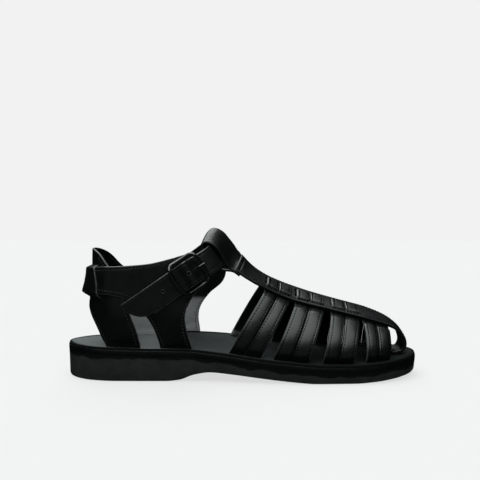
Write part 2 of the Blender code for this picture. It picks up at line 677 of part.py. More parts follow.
def build_keeper(side):
    """Strip of the counter that passes over the band and dives back at both ends."""
    n, m = 11, 4
    f = np.linspace(0, 1, n)
    rear, front = col(KEEPER, "rear", f, "f"), col(KEEPER, "front", f, "f")
    v = np.linspace(0, 1, m)[None, :]
    u = side * (rear[:, None] * (1 - v) + front[:, None] * v)
    z = col(KEEPER, "z", f, "f")[:, None] + 0 * u - (2.0 if side > 0 else 0)
    g = heel_point(u, z)
    nrm = heel_normal(u, z)
    loose = slack(u, z)
    over = smoothstep(0.0, 0.17, f) * (1 - smoothstep(0.87, 1.0, f))
    rise = (0.3 + (2 * LEATHER - LAP - 1.0 + loose) * over[:, None])[:, :, None]
    thick = (1.4 + 0.6 * over)[:, None, None]
    return slab("keeper", g + nrm * rise, g + nrm * (rise + thick))


def build_fold():
    """The chape's leather folded round the buckle's bar, in two halves beside the prong."""
    c, a, b, n = buckle_axes()
    r0, r1, root = WIRE_R + GAP, WIRE_R + GAP + FOLD_T, BAR_LIFT - 3.6
    parts = []
    for lo, hi in ((-8.4, -1.7), (1.7, 8.4)):
        faces = []
        for r in (r0, r1):
            line = [(r * math.cos(math.radians(k)), BAR_LIFT + r * math.sin(math.radians(k)))
                    for k in range(0, 181, 20)]
            line = [(r, root)] + line + [(-r, root)]
            grid = [[c + a * p + b * w + n * q for w in (lo, hi)] for p, q in line]
            faces.append(np.array(grid))
        parts.append(slab("fold", *faces))
    return parts


def build_quarter(mat):
    quarter = build_counter()
    parts = [build_band(), build_keeper(-1), build_keeper(1)] + build_fold()
    quarter = boolean(quarter, parts, 'UNION')
    quarter.data.materials.clear()
    quarter.data.materials.append(mat)
    return quarter


# ------------------------------------------------------------- billet and buckle
BAR_LIFT = GAP + WIRE_R - BILLET_T - GAP      # bar centre from the billet's outer face
BAR_BUMP = BAR_LIFT + WIRE_R + GAP + FOLD_T + GAP + BILLET_T + 0.3


def ankle_path(n):
    """The billet's outer face: centre line, direction across, normal, distance from the bar."""
    c = curve(np.stack([ANKLE[k] for k in ("x", "y", "z", "ax", "ay", "az")], 1), n)
    pos, across = c[:, :3], c[:, 3:]
    t = np.gradient(pos, axis=0)
    t /= np.linalg.norm(t, axis=1, keepdims=True)
    across = across - t * np.sum(across * t, axis=1, keepdims=True)
    across /= np.linalg.norm(across, axis=1, keepdims=True)
    nrm = np.cross(across, t)
    s = np.concatenate([[0], np.cumsum(np.linalg.norm(np.diff(pos, axis=0), axis=1))])
    centre = np.array([ANKLE[k][BUCKLE_ROW] for k in "xyz"])
    at = s[np.argmin(np.linalg.norm(pos - centre, axis=1))]
    if np.dot(nrm[n // 2], (1, 0, 1)) < 0:
        nrm = -nrm
    return pos, across, nrm, t, s - at


def buckle_axes():
    """Centre of the bar's place, toward the loop, across, outwards."""
    pos, across, nrm, t, s = ankle_path(400)
    i = int(np.argmin(np.abs(s)))
    return pos[i], -t[i], across[i], nrm[i]


def bar_bump(s):
    """Rise of the billet over the buckle's centre bar."""
    return BAR_BUMP * np.exp(-(s / 5.0) ** 2)


def build_ankle(mat):
    pos, across, nrm, t, s = ankle_path(400)
    far, near = s[0], s[-1]
    rows = np.concatenate([np.linspace(far, -13, 20), np.linspace(-13, 13, 14)[1:],
                           np.linspace(13, near, 10)[1:]])
    cols = []
    for w in np.linspace(-1, 1, 5) * BILLET_W / 2:
        # the tip is rounded, mostly on its lower side
        q = (BILLET_W / 2 - w) / BILLET_W
        cut = 19.0 * (1 - math.sqrt(max(0.0, 1 - q ** 2.2)))
        sj = np.where(rows > 13, 13 + (rows - 13) * (near - cut - 13) / (near - 13), rows)
        at = lambda f: np.stack([np.interp(sj, s, f[:, c]) for c in range(3)], 1)
        cols.append(at(pos) + w * at(across) + bar_bump(sj)[:, None] * at(nrm))
    outer = np.stack(cols, 1)
    gn = grid_normals(outer)
    if np.dot(gn[26, 2], nrm[int(np.argmin(np.abs(s)))]) < 0:
        gn = -gn
    strap = slab("ankle_strap", outer - gn * BILLET_T, outer, mat)
    cutters = []
    for sk, r in zip(HOLES["s"], HOLES["radius"]):
        at = lambda f: np.array([np.interp(sk, s, f[:, c]) for c in range(3)])
        c, out = at(pos), at(nrm)
        cutters.append(make("hole", *tube_mesh([c + out * (bar_bump(sk) + 3.0),
                                                c + out * (bar_bump(sk) - 5.5)],
                                               r, 8, False, up=at(across))))
    return boolean(strap, cutters, 'DIFFERENCE')


def build_buckle(mat):
    c, a, b, n = buckle_axes()
    lift_end = GAP + WIRE_R + 0.55
    ha, hb = BUCKLE_ALONG / 2 - WIRE_R, BUCKLE_ACROSS / 2 - WIRE_R
    corner, bow = 3.2, 0.9
    pts = []
    for qx, qy, a0 in ((1, 1, 0), (-1, 1, 90), (-1, -1, 180), (1, -1, 270)):
        for k in range(4):                        # round corner
            ang = math.radians(a0 + 90 * k / 3)
            pts.append((qx * (ha - corner) + corner * math.cos(ang),
                        qy * (hb - corner) + corner * math.sin(ang)))
        for k in range(1, 5):                     # side rail, or bowed end bar
            f = k / 5 * 2 - 1
            if qx == qy:
                pts.append((-qy * f * (ha - corner), qy * hb))
            else:
                pts.append((qx * (ha + bow * (1 - f * f)), qx * f * (hb - corner)))
    path = []
    for p, q in pts:
        lift = BAR_LIFT + (lift_end - BAR_LIFT) * min(1.0, abs(p) / ha) ** 2
        path.append(c + a * p + b * (q + BUCKLE_DROP) + n * lift)
    frame = make("buckle_frame", *tube_mesh(path, WIRE_R, 7, True, up=n), mat)
    bar = make("bar", *tube_mesh([c + n * BAR_LIFT + b * (q + BUCKLE_DROP) for q in (-hb, 0, hb)],
                                 WIRE_R * 0.93, 8, False, up=n))
    frame = boolean(frame, [bar], 'UNION')
    frame.data.materials.clear()
    frame.data.materials.append(mat)
    return frame


def build_prong(mat):
    """The prong starts beside the bar, passes the billet's hole and rests on the end bar."""
    c, a, b, n = buckle_axes()
    lift_end = GAP + WIRE_R + 0.55
    ha = BUCKLE_ALONG / 2 - WIRE_R + 0.9
    r = 0.8
    over = lift_end + WIRE_R + GAP + r
    pts = curve([(WIRE_R + GAP + r, BAR_LIFT - 0.3), (4.4, BAR_LIFT - 0.9), (6.2, BAR_LIFT - 0.6),
                 (7.5, BAR_LIFT + 0.7), (8.2, 1.3), (8.9, over - 0.9), (ha - 0.8, over),
                 (ha + 0.8, over + 0.1), (ha + 1.8, over - 0.1)], 18)
    path = [c + a * p + n * q for p, q in pts]
    return make("buckle_prong", *tube_mesh(path, r, 8, False, up=b), mat)


# ------------------------------------------------------------------------ build
def build():
    for obj in list(bpy.data.objects):
        bpy.data.objects.remove(obj, do_unlink=True)
    leather = material("black_leather", (0.012, 0.013, 0.014), 0.42)
    suede = material("grey_suede", (0.085, 0.085, 0.088), 0.9)
    board = material("black_edge", (0.010, 0.010, 0.011), 0.45)
    rubber = material("charcoal_rubber", (0.022, 0.023, 0.024), 0.7)
    metal = material("black_metal", (0.015, 0.015, 0.016), 0.3, 0.6)

    below = lambda d: (lambda x, y: footbed_z(x, y) - d)
    stack = INSOLE_T + GAP + MIDSOLE_T
    under = lambda x, y: col(UNDER, "z", x)
    waist = lambda x, y: 0.3 * (footbed_z(x, y) - stack) + 0.7 * under(x, y)
    sole_layer("insole", [(0.5, footbed_z), (0.4, below(INSOLE_T))], 34, 5, suede)
    sole_layer("midsole", [(0.3, below(INSOLE_T + GAP)), (0.0, below(stack - 1.2)),
                           (0.2, below(stack))], 34, 5, board)
    sole_layer("outsole", [(0.3, below(stack + GAP)), (0.8, waist),
                           (1.2, lambda x, y: under(x, y) + 1.4), (2.6, under)], 40, 5, rubber)

    vamp = boolean(build_tstrap(), [build_cross_strap(k) for k in range(4)]
                   + [build_loop()], 'UNION', self_overlap=True)
    vamp.data.materials.clear()
    vamp.data.materials.append(leather)

    build_quarter(leather)
    build_ankle(leather)
    build_buckle(metal)
    build_prong(metal)


build()
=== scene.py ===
"""Looks of the right-foot woven sandal: straps, seams, suede, rubber and the studio.

Everything is built in the frame's own place: +X to the toe, -Y to the outer side,
+Z up. Tables and named sizes are in millimetres.
"""

import math

import bpy
import bmesh
import numpy as np
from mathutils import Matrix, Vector


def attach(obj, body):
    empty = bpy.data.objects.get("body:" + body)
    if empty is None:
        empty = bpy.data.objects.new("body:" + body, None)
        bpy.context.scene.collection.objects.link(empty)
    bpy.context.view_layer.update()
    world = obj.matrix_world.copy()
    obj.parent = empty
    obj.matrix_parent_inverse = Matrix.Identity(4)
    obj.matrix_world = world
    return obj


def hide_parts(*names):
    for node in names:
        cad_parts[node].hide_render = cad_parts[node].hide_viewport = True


MM = 0.001

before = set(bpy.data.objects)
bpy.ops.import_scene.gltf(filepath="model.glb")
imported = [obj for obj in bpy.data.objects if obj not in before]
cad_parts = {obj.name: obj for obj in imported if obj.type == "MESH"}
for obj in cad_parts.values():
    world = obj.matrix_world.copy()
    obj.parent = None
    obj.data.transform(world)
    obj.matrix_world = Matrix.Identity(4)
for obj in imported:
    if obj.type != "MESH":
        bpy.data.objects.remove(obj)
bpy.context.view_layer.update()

# ---------------------------------------------------------------- named sizes
LENGTH = 285.0            # sole, heel to toe
SOLE_SHIFT = 2.0          # middle of the sole ahead of the drafting origin
GAP = 0.3                 # clearance between separate pieces
FOOT_GAP = 0.5            # clearance of the straps' feet over the cupped footbed
INSOLE_T = 1.7            # suede footbed
MIDSOLE_T = 4.2           # black board under the footbed
LEATHER = 2.2             # one layer of upper leather
TSTRAP_T = 3.2            # T-strap, two layers sewn together
TSTRAP_CROWN = 1.3        # arch of the T-strap across its width
WEAVE_RISE = 3.4          # how far the first three cross straps rise over its middle
LAP = 0.8                 # overlap of the quarter's leather layers, so they join
BILLET_W = 20.0           # ankle strap width
BILLET_T = 2.2
BUCKLE_ALONG = 26.4       # buckle frame, along the strap
BUCKLE_ACROSS = 28.6      # buckle frame, across the strap
WIRE_R = 1.1              # buckle wire radius
BUCKLE_DROP = -0.4        # middle of the frame above the strap's middle
FOLD_T = 1.4              # chape leather folded round the buckle's bar
INSET_FRONT = 8.5         # cross straps stand this far inside the rim
HALF = LENGTH / 2


def table(names, rows):
    """Named columns from short rows."""
    arr = np.array(rows, float)
    return {n: arr[:, i] for i, n in enumerate(names.split())}


# outline half-widths from the spine line, rim heights and cup depth
SOLE = table("x      spine lateral medial z_lat  z_med  cup", [
    (-142.5, 0.0,  0.0,  0.0, 27.2, 27.2, 0.0),
    (-138.0, 0.0, 14.5, 14.0, 27.0, 27.0, 0.2),
    (-130.0, 0.0, 24.0, 23.3, 26.8, 26.9, 0.7),
    (-118.0, 0.0, 31.0, 29.7, 26.6, 26.8, 1.4),
    (-100.0, 0.0, 34.7, 33.2, 26.2, 27.0, 2.0),
    (-75.0,  0.0, 35.0, 33.5, 25.5, 28.0, 2.2),
    (-45.0,  0.0, 35.0, 31.8, 25.0, 29.4, 2.0),
    (-15.0,  0.0, 37.5, 31.0, 22.3, 28.0, 1.6),
    (10.0,   0.0, 41.0, 34.0, 18.9, 23.4, 1.2),
    (35.0,   0.3, 44.0, 40.5, 16.4, 18.7, 0.9),
    (60.0,   0.8, 46.0, 47.2, 14.6, 15.5, 0.7),
    (82.0,   1.8, 46.0, 50.2, 14.2, 14.4, 0.6),
    (102.0,  2.6, 43.6, 48.0, 15.0, 15.1, 0.5),
    (118.0,  3.2, 37.6, 41.5, 16.2, 16.3, 0.4),
    (130.0,  3.6, 28.4, 31.5, 17.1, 17.2, 0.3),
    (138.0,  3.8, 17.4, 19.5, 17.9, 18.0, 0.1),
    (142.5,  4.0,  0.0,  0.0, 18.4, 18.4, 0.0)])

# height of the outsole's underside: heel block, arch, forefoot flat, toe spring
UNDER = table("x z", [
    (-142.5, 0.0), (-60.0, 0.0), (-50.0, 0.9), (-37.0, 5.2), (-25.0, 7.0), (-7.0, 5.6),
    (14.0, 3.4), (31.0, 1.7), (46.0, 0.5), (56.0, 0.0), (88.0, 0.0), (102.0, 0.6),
    (117.0, 1.6), (127.0, 2.4), (138.0, 3.2), (142.5, 3.6)])
for _tab in (SOLE, UNDER):
    _tab["x"] = _tab["x"] + SOLE_SHIFT

# outer face of the T-strap: near (lateral) edge, far (medial) edge, centre y, width;
# the last rows turn down at the toe and lie back on the footbed
TSTRAP = table("x_near z_near x_far z_far y width", [
    (-4.0,  86.0,   1.7, 97.1, -1.0, 28.0),
    (7.3,   78.8,  10.6, 87.8, -1.0, 28.0),
    (18.6,  72.5,  20.8, 80.7, -1.0, 28.0),
    (31.0,  66.4,  32.4, 75.2, -0.8, 28.0),
    (43.6,  61.6,  44.6, 70.6, -0.5, 28.0),
    (56.0,  58.2,  57.6, 66.2, -0.2, 28.0),
    (68.6,  55.2,  70.5, 62.4,  0.0, 28.0),
    (84.8,  51.2,  86.5, 58.0,  0.2, 28.0),
    (100.1, 47.4, 102.0, 53.9,  0.3, 28.0),
    (111.8, 44.2, 113.2, 49.9,  0.3, 27.5),
    (120.7, 41.4, 121.9, 45.8,  0.2, 27.0),
    (126.2, 38.9, 127.4, 41.8,  0.0, 26.5),
    (130.8, 35.0, 131.8, 36.9,  0.0, 26.0),
    (133.9, 29.8, 134.6, 30.9,  0.0, 25.5),
    (134.8, 24.3, 135.3, 25.0,  0.0, 25.0),
    (132.6, 19.6, 132.9, 19.8,  0.0, 24.5),
    (127.8, 17.2, 128.0, 17.2,  0.0, 24.0),
    (123.6, 16.8, 123.8, 16.8,  0.0, 24.0)])
TSTRAP_STRAIGHT = 11      # rows before the toe turn

# the instep loop: its outer profile beside the T-strap's rear hem (dx, dz); the
# strip leaves the hem, rises over the ankle strap, turns and comes back under
LOOP = table("dx dz", [
    (1.2, -1.4), (-2.4, 0.3), (-5.6, 3.6), (-9.2, 10.2), (-13.9, 17.4),
    (-19.2, 21.3), (-24.0, 22.4), (-27.4, 20.6), (-27.8, 17.0), (-25.0, 13.2),
    (-19.0, 5.9), (-13.6, -0.2), (-9.8, -2.3), (-5.6, -2.5), (-1.4, -3.4), (3.0, -6.6)])

# cross straps: x of rear and front edge at the lateral base, at the T-strap's near
# edge, at its far edge and at the medial base
CROSS = table("b0 b1 n0 n1 f0 f1 m0 m1", [
    (-8.6,  16.4, 19.4,  39.6, 21.5,  43.0,  -8.5,  23.0),
    (25.6,  52.5, 44.2,  67.4, 46.3,  69.0,  26.5,  55.5),
    (63.4,  87.1, 73.2,  96.3, 74.5,  97.0,  66.0,  90.0),
    (97.6, 117.2, 98.9, 120.0, 100.5, 121.5, 98.5, 118.0)])
T_EDGE = 0.30             # cross-strap parameter at the T-strap's edges

# heel: back line and half-width in plan of the quarter's inner face, by height
HEEL = table("z back half_lat half_med", [
    (20.0, -121.6, 27.0, 26.6),
    (40.0, -121.2, 29.4, 28.9),
    (54.0, -121.9, 30.6, 30.1),
    (64.0, -121.0, 30.9, 30.4),
    (76.0, -119.5, 30.6, 30.1),
    (90.0, -119.3, 29.6, 29.1),
    (104.0, -119.2, 27.6, 27.1)])

# counter: rear and front edge as distance round the heel from the back centre, by
# height above the footbed; above COUNTER_SPLIT the rear lines only space the mesh
COUNTER = table("h rear front", [
    (0.0,  31.5, 59.4), (8.0,  27.4, 58.0), (16.0, 22.0, 56.0), (21.0, 17.8, 54.6),
    (25.5, 13.4, 53.4), (30.0, 8.6, 52.0), (36.0, 7.6, 50.5), (46.0, 6.0, 49.0),
    (54.0, 4.8, 44.6), (60.0, 3.8, 36.0), (66.0, 2.9, 29.8), (70.6, 2.2, 24.8),
    (73.6, 1.7, 19.4), (75.6, 1.4, 11.0), (76.3, 1.2, 3.5)])
COUNTER_SPLIT = 30.0      # height where the legs close into one sheet
COUNTER_ARCH = 3.0        # rise of the arch between the rear legs

# band and front leg: upper (front) edge and lower (rear) edge, as distance round
# the heel and height
BAND = table("u_up z_up u_low z_low ahead", [
    (0.0,   85.6, 0.0,  67.7, 0.0),
    (13.0,  86.8, 14.0, 67.5, 0.0),
    (27.0,  88.5, 28.0, 67.1, 0.0),
    (46.0,  89.3, 41.0, 66.3, 0.0),
    (66.0,  91.2, 51.0, 63.8, 0.5),
    (81.5,  95.0, 58.0, 59.2, 3.0),
    (93.5,  98.0, 63.5, 53.6, 8.0),
    (103.5, 95.0, 67.4, 47.6, 13.0),
    (108.6, 86.6, 70.0, 42.2, 15.5),
    (108.6, 76.6, 71.8, 37.6, 13.0),
    (102.6, 66.6, 73.0, 33.8, 9.5),
    (97.2,  54.5, 73.8, 30.8, 8.0),
    (96.0,  43.0, 74.4, 28.4, 6.0),
    (99.6,  25.0, 74.6, 25.0, 3.0)])
MEDIAL_DROP = 4.5         # the medial band sits this much lower
MEDIAL_REAR = -4.0        # and its front leg's rear edge this much further forward
MEDIAL_LEG = 3.5          # the medial rear leg is this much wider, twice at its base
BAND_LOOSE = 4.2          # the band stands off the counter at the back
KEEPER = table("f rear front z", [(0.0, 9.0, 29.5, 62.4), (0.5, 8.8, 26.4, 76.4),
                                  (1.0, 8.4, 22.0, 90.4)])

# ankle strap: centre of its outer face, and the direction across it, upwards
ANKLE = table("x y z ax ay az", [
    (-66.0,  36.9,  70.2, -0.55,  0.02, 0.83),
    (-52.0,  36.2,  79.6, -0.56, -0.04, 0.82),
    (-38.0,  32.2,  89.8, -0.58, -0.14, 0.79),
    (-24.5,  26.6, 100.0, -0.60, -0.20, 0.77),
    (-15.9,  19.2, 106.6, -0.61, -0.12, 0.78),
    (-13.3,  11.8, 108.7, -0.61, -0.03, 0.788),
    (-16.4,  -1.0, 103.2, -0.61,  0.00, 0.790),
    (-19.1, -13.5,  97.2, -0.61,  0.06, 0.785),
    (-28.4, -24.6,  90.6, -0.58,  0.09, 0.80),
    (-40.1, -32.0,  83.3, -0.57,  0.02, 0.82),
    (-54.0, -36.5,  73.8, -0.57, -0.02, 0.82),
    (-66.0, -37.8,  65.4, -0.57, -0.02, 0.82),
    (-77.0, -37.9,  57.8, -0.57, -0.02, 0.82),
    (-86.5, -37.6,  51.4, -0.57, -0.04, 0.82)])
BUCKLE_ROW = 9            # the row of ANKLE at the buckle's bar
HOLES = table("s radius", [(-6.4, 1.5), (-8.0, 1.5), (0.4, 1.15), (12.2, 1.15), (24.0, 1.15)])


# ------------------------------------------------------------------ curve maths
def pchip(xs, ys, x):
    """Monotone cubic through (xs, ys): flats stay flat and nothing overshoots."""
    xs, ys, x = np.asarray(xs, float), np.asarray(ys, float), np.asarray(x, float)
    h = np.diff(xs)
    d = np.diff(ys) / h
    m = np.zeros(len(xs))
    for i in range(1, len(xs) - 1):
        if d[i - 1] * d[i] > 0:
            w1, w2 = 2 * h[i] + h[i - 1], h[i] + 2 * h[i - 1]
            m[i] = (w1 + w2) / (w1 / d[i - 1] + w2 / d[i])
    m[0], m[-1] = d[0], d[-1]
    k = np.clip(np.searchsorted(xs, x) - 1, 0, len(xs) - 2)
    t = np.clip((x - xs[k]) / h[k], 0, 1)
    t2, t3 = t * t, t * t * t
    return ((2 * t3 - 3 * t2 + 1) * ys[k] + (t3 - 2 * t2 + t) * h[k] * m[k]
            + (-2 * t3 + 3 * t2) * ys[k + 1] + (t3 - t2) * h[k] * m[k + 1])


def col(tab, name, x, key="x"):
    return pchip(tab[key], tab[name], x)


def half_width(side, x):
    """Squares are interpolated, so that heel and toe close as round ends."""
    return np.sqrt(np.maximum(pchip(SOLE["x"], SOLE[side] ** 2, x), 0.0))


def curve(points, n, closed=False):
    """Smooth curve through points, resampled evenly (Catmull-Rom on arc length)."""
    p = np.asarray(points, float)
    if closed:
        p = np.vstack([p[-2], p[-1], p, p[0], p[1]])
    s = np.concatenate([[0], np.cumsum(np.linalg.norm(np.diff(p, axis=0), axis=1) ** 0.5)])
    out = []
    lo, hi = (2, len(p) - 2) if closed else (0, len(p) - 1)
    m = np.zeros_like(p)
    for i in range(len(p)):
        a, b = max(i - 1, 0), min(i + 1, len(p) - 1)
        m[i] = (p[b] - p[a]) / (s[b] - s[a])
    for i in range(lo, hi):
        h = s[i + 1] - s[i]
        for t in np.linspace(0, 1, 24, endpoint=False):
            t2, t3 = t * t, t ** 3
            out.append((2 * t3 - 3 * t2 + 1) * p[i] + (t3 - 2 * t2 + t) * h * m[i]
                       + (3 * t2 - 2 * t3) * p[i + 1] + (t3 - t2) * h * m[i + 1])
    out.append(p[hi])
    out = np.array(out)
    ln = np.concatenate([[0], np.cumsum(np.linalg.norm(np.diff(out, axis=0), axis=1))])
    at = np.linspace(0, ln[-1], n)
    return np.stack([np.interp(at, ln, out[:, k]) for k in range(out.shape[1])], 1)


def smoothstep(a, b, x):
    t = np.clip((x - a) / (b - a), 0, 1)
    return t * t * (3 - 2 * t)


# ------------------------------------------------------------------ the sole's shape
def footbed_z(x, y):
    """Top of the insole: rim heights of both sides, and a shallow cup between."""
    lo = col(SOLE, "spine", x) - half_width("lateral", x)
    hi = col(SOLE, "spine", x) + half_width("medial", x)
    f = np.clip((y - lo) / np.maximum(hi - lo, 1e-6), 0, 1)
    blend = f * f * (3 - 2 * f)
    rim = col(SOLE, "z_lat", x) * (1 - blend) + col(SOLE, "z_med", x) * blend
    return rim - col(SOLE, "cup", x) * np.minimum(1.0, 5.0 * f * (1 - f)) ** 1.0


def outline(n, inset):
    """Lateral and medial edge points, heel to toe, moved inwards by inset."""
    tau = np.linspace(0, math.pi, n)
    x = SOLE_SHIFT - HALF * np.cos(tau)
    s = col(SOLE, "spine", x)
    lat = np.stack([x, s - half_width("lateral", x)], 1)
    med = np.stack([x, s + half_width("medial", x)], 1)
    ring = np.vstack([lat, med[-2:0:-1]])
    t = np.roll(ring, -1, 0) - np.roll(ring, 1, 0)
    nrm = np.stack([-t[:, 1], t[:, 0]], 1)
    nrm /= np.linalg.norm(nrm, axis=1, keepdims=True)
    ring = ring + nrm * inset
    return ring[:n], np.vstack([ring[0], ring[:n - 1:-1], ring[n - 1]])


def sole_centre():
    """Middle of the sole's outline: the part's origin stands below it."""
    ring = np.vstack(outline(60, 0.0))
    lo, hi = ring.min(axis=0), ring.max(axis=0)
    return np.array([(lo[0] + hi[0]) / 2, (lo[1] + hi[1]) / 2, 0.0])


CENTRE = sole_centre()


# --------------------------------------------------- the straps' and quarter's shape
def bezier(p0, p1, p2, p3, s):
    s = s[:, None]
    return ((1 - s) ** 3 * p0 + 3 * (1 - s) ** 2 * s * p1
            + 3 * (1 - s) * s * s * p2 + s ** 3 * p3)


def tstrap_edges(x_near, x_far, drop):
    """Points on the T-strap's near and far edges, let down by drop."""
    k, m = TSTRAP, TSTRAP_STRAIGHT
    half = np.sqrt(k["width"] ** 2 - (k["x_far"] - k["x_near"]) ** 2
                   - (k["z_far"] - k["z_near"]) ** 2)[:m] / 2
    at = lambda x, key, f: pchip(k[key][:m], f, np.array(x))
    near = np.array([x_near, at(x_near, "x_near", k["y"][:m] - half),
                     at(x_near, "x_near", k["z_near"][:m]) - drop])
    far = np.array([x_far, at(x_far, "x_far", k["y"][:m] + half),
                    at(x_far, "x_far", k["z_far"][:m]) - drop])
    return near, far


def foot_of(side, x):
    """Where a cross strap's edge meets the footbed."""
    reach = half_width("lateral" if side < 0 else "medial", x) - INSET_FRONT
    y = float(col(SOLE, "spine", x) + side * reach)
    return np.array([x, y, float(footbed_z(x, y)) + FOOT_GAP])


def last_section(x_base, x_near, x_far, x_med, t):
    """One cross-strap edge over the last: lateral side, under the T-strap, medial side."""
    near, far = tstrap_edges(x_near, x_far, TSTRAP_T + LEATHER - 1.0)
    base, med = foot_of(-1, x_base), foot_of(1, x_med)
    hl, wl = near[2] - base[2], near[1] - base[1]
    hm, wm = far[2] - med[2], med[1] - far[1]
    lean_l, lean_m = (near[0] - base[0]) / hl, (far[0] - med[0]) / hm
    slope = (far[2] - near[2]) / (far[1] - near[1])
    up_l = np.array([lean_l * 0.9, -0.30, 1.0])
    up_m = np.array([lean_m * 0.9, 0.26, 1.0])
    in_l = np.array([lean_l * 0.7, 1.0, 0.42 + 0.5 * slope])
    in_m = np.array([lean_m * 0.8, -1.0, 0.34 - 0.6 * slope])
    out = np.zeros((len(t), 3))
    a, b = t <= -T_EDGE, t >= T_EDGE
    c = ~a & ~b
    out[a] = bezier(base, base + up_l * 0.42 * hl, near - in_l * 0.58 * wl, near,
                    (t[a] + 1) / (1 - T_EDGE))
    out[b] = bezier(far, far - in_m * 0.55 * wm, med + up_m * 0.45 * hm, med,
                    (t[b] - T_EDGE) / (1 - T_EDGE))
    s = ((t[c] + T_EDGE) / (2 * T_EDGE))[:, None]
    out[c] = near + (far - near) * s
    out[c, 2] += TSTRAP_CROWN * (1 - (2 * s[:, 0] - 1) ** 2)
    return out


def cross_strap_grid(k, n, m):
    """Inner face of cross strap k; rows go over the foot, columns rear to front."""
    c = {key: val[k] for key, val in CROSS.items()}
    t = np.unique(np.concatenate([np.linspace(-1, -T_EDGE, n), np.linspace(-T_EDGE, T_EDGE, 11),
                                  np.linspace(T_EDGE, 1, n)]))
    cols = []
    for v in np.linspace(0, 1, m):
        mix = lambda p, q: c[p] * (1 - v) + c[q] * v
        cols.append(last_section(mix("b0", "b1"), mix("n0", "n1"),
                                 mix("f0", "f1"), mix("m0", "m1"), t))
    return t, np.stack(cols, 1)


def heel_point(u, z):
    """Inner face of the quarter: u is the distance round the heel, lateral negative."""
    side = np.where(u < 0, -1.0, 1.0)
    w = np.where(u < 0, col(HEEL, "half_lat", z, "z"), col(HEEL, "half_med", z, "z"))
    back = col(HEEL, "back", z, "z")
    u = np.abs(u)
    arc = w * math.pi / 2
    phi = np.minimum(u, arc) / w
    x = back + w * (1 - np.cos(phi)) + np.maximum(u - arc, 0)
    y = w * np.sin(phi)
    tuck = 15.8 * smoothstep(-64.0, -16.0, x) * smoothstep(52.0, 100.0, z)
    toe_in = 1.0 * smoothstep(-70.0, -40.0, x)
    return np.stack([x, side * (y - tuck + toe_in), z + 0 * x], -1)


def heel_normal(u, z):
    """Unit normal of the quarter's surface, pointing away from the foot."""
    e = 0.4
    du = heel_point(u + e, z) - heel_point(u - e, z)
    dz = heel_point(u, z + e) - heel_point(u, z - e)
    nrm = np.cross(dz, du)
    return nrm / np.linalg.norm(nrm, axis=-1, keepdims=True)


def floor_at(u):
    p = heel_point(u, np.full_like(np.asarray(u, float), 26.0))
    return footbed_z(p[..., 0], p[..., 1]) + FOOT_GAP


def band_uz(n, m):
    """The band's path from the lateral foot of its leg round the heel to the medial foot."""
    half = curve(np.stack([BAND[k] for k in ("u_up", "z_up", "u_low", "z_low")], 1), n)
    lat = half[::-1] * np.array([-1, 1, -1, 1])
    med = half[1:].copy()
    drop = smoothstep(30, 72, med[:, 1::2]) * smoothstep(8, 40, med[:, 0::2])
    # its front edge sweeps forward and up into the ankle strap
    med[:, 0] += pchip(BAND["u_low"], BAND["ahead"], half[1:, 2])
    med[:, 2] += MEDIAL_REAR * smoothstep(60, 74, med[:, 2])
    med[:, 1::2] -= MEDIAL_DROP * drop
    rows = np.vstack([lat, med])
    v = np.linspace(0, 1, m)[None, :]
    return (rows[:, 2:3] * (1 - v) + rows[:, 0:1] * v,
            rows[:, 3:4] * (1 - v) + rows[:, 1:2] * v)


def slack(u, z):
    """How far the band stands off the counter round the back, most at its lower edge."""
    u = np.abs(u)
    loose = BAND_LOOSE * np.clip(1 - u / 34.0, 0, 1) * (1 - 0.7 * smoothstep(66, 88, z))
    return (LAP + 0.5 + loose) * (1 - smoothstep(32, 39, u))


BAR_LIFT = GAP + WIRE_R - BILLET_T - GAP      # bar centre from the billet's outer face
BAR_BUMP = BAR_LIFT + WIRE_R + GAP + FOLD_T + GAP + BILLET_T + 0.3


def ankle_path(n):
    """The billet's outer face: centre line, direction across, normal, distance from the bar."""
    c = curve(np.stack([ANKLE[k] for k in ("x", "y", "z", "ax", "ay", "az")], 1), n)
    pos, across = c[:, :3], c[:, 3:]
    t = np.gradient(pos, axis=0)
    t /= np.linalg.norm(t, axis=1, keepdims=True)
    across = across - t * np.sum(across * t, axis=1, keepdims=True)
    across /= np.linalg.norm(across, axis=1, keepdims=True)
    nrm = np.cross(across, t)
    s = np.concatenate([[0], np.cumsum(np.linalg.norm(np.diff(pos, axis=0), axis=1))])
    centre = np.array([ANKLE[k][BUCKLE_ROW] for k in "xyz"])
    at = s[np.argmin(np.linalg.norm(pos - centre, axis=1))]
    if np.dot(nrm[n // 2], (1, 0, 1)) < 0:
        nrm = -nrm
    return pos, across, nrm, t, s - at


def buckle_axes():
    """Centre of the bar's place, toward the loop, across, outwards."""
    pos, across, nrm, t, s = ankle_path(400)
    i = int(np.argmin(np.abs(s)))
    return pos[i], -t[i], across[i], nrm[i]


def bar_bump(s):
    """Rise of the billet over the buckle's centre bar."""
    return BAR_BUMP * np.exp(-(s / 5.0) ** 2)


# ------------------------------------------------------------------- mesh tools
EDGE = (0.0, 0.10, 0.28, 0.55, 0.95)      # columns of a rounded cut edge, mm from it


def grid_normals(p):
    """Unit normals of a grid of points, from the cross product of its directions."""
    du = np.gradient(p, axis=0)
    dv = np.gradient(p, axis=1)
    n = np.cross(du, dv)
    return n / np.maximum(np.linalg.norm(n, axis=2, keepdims=True), 1e-9)


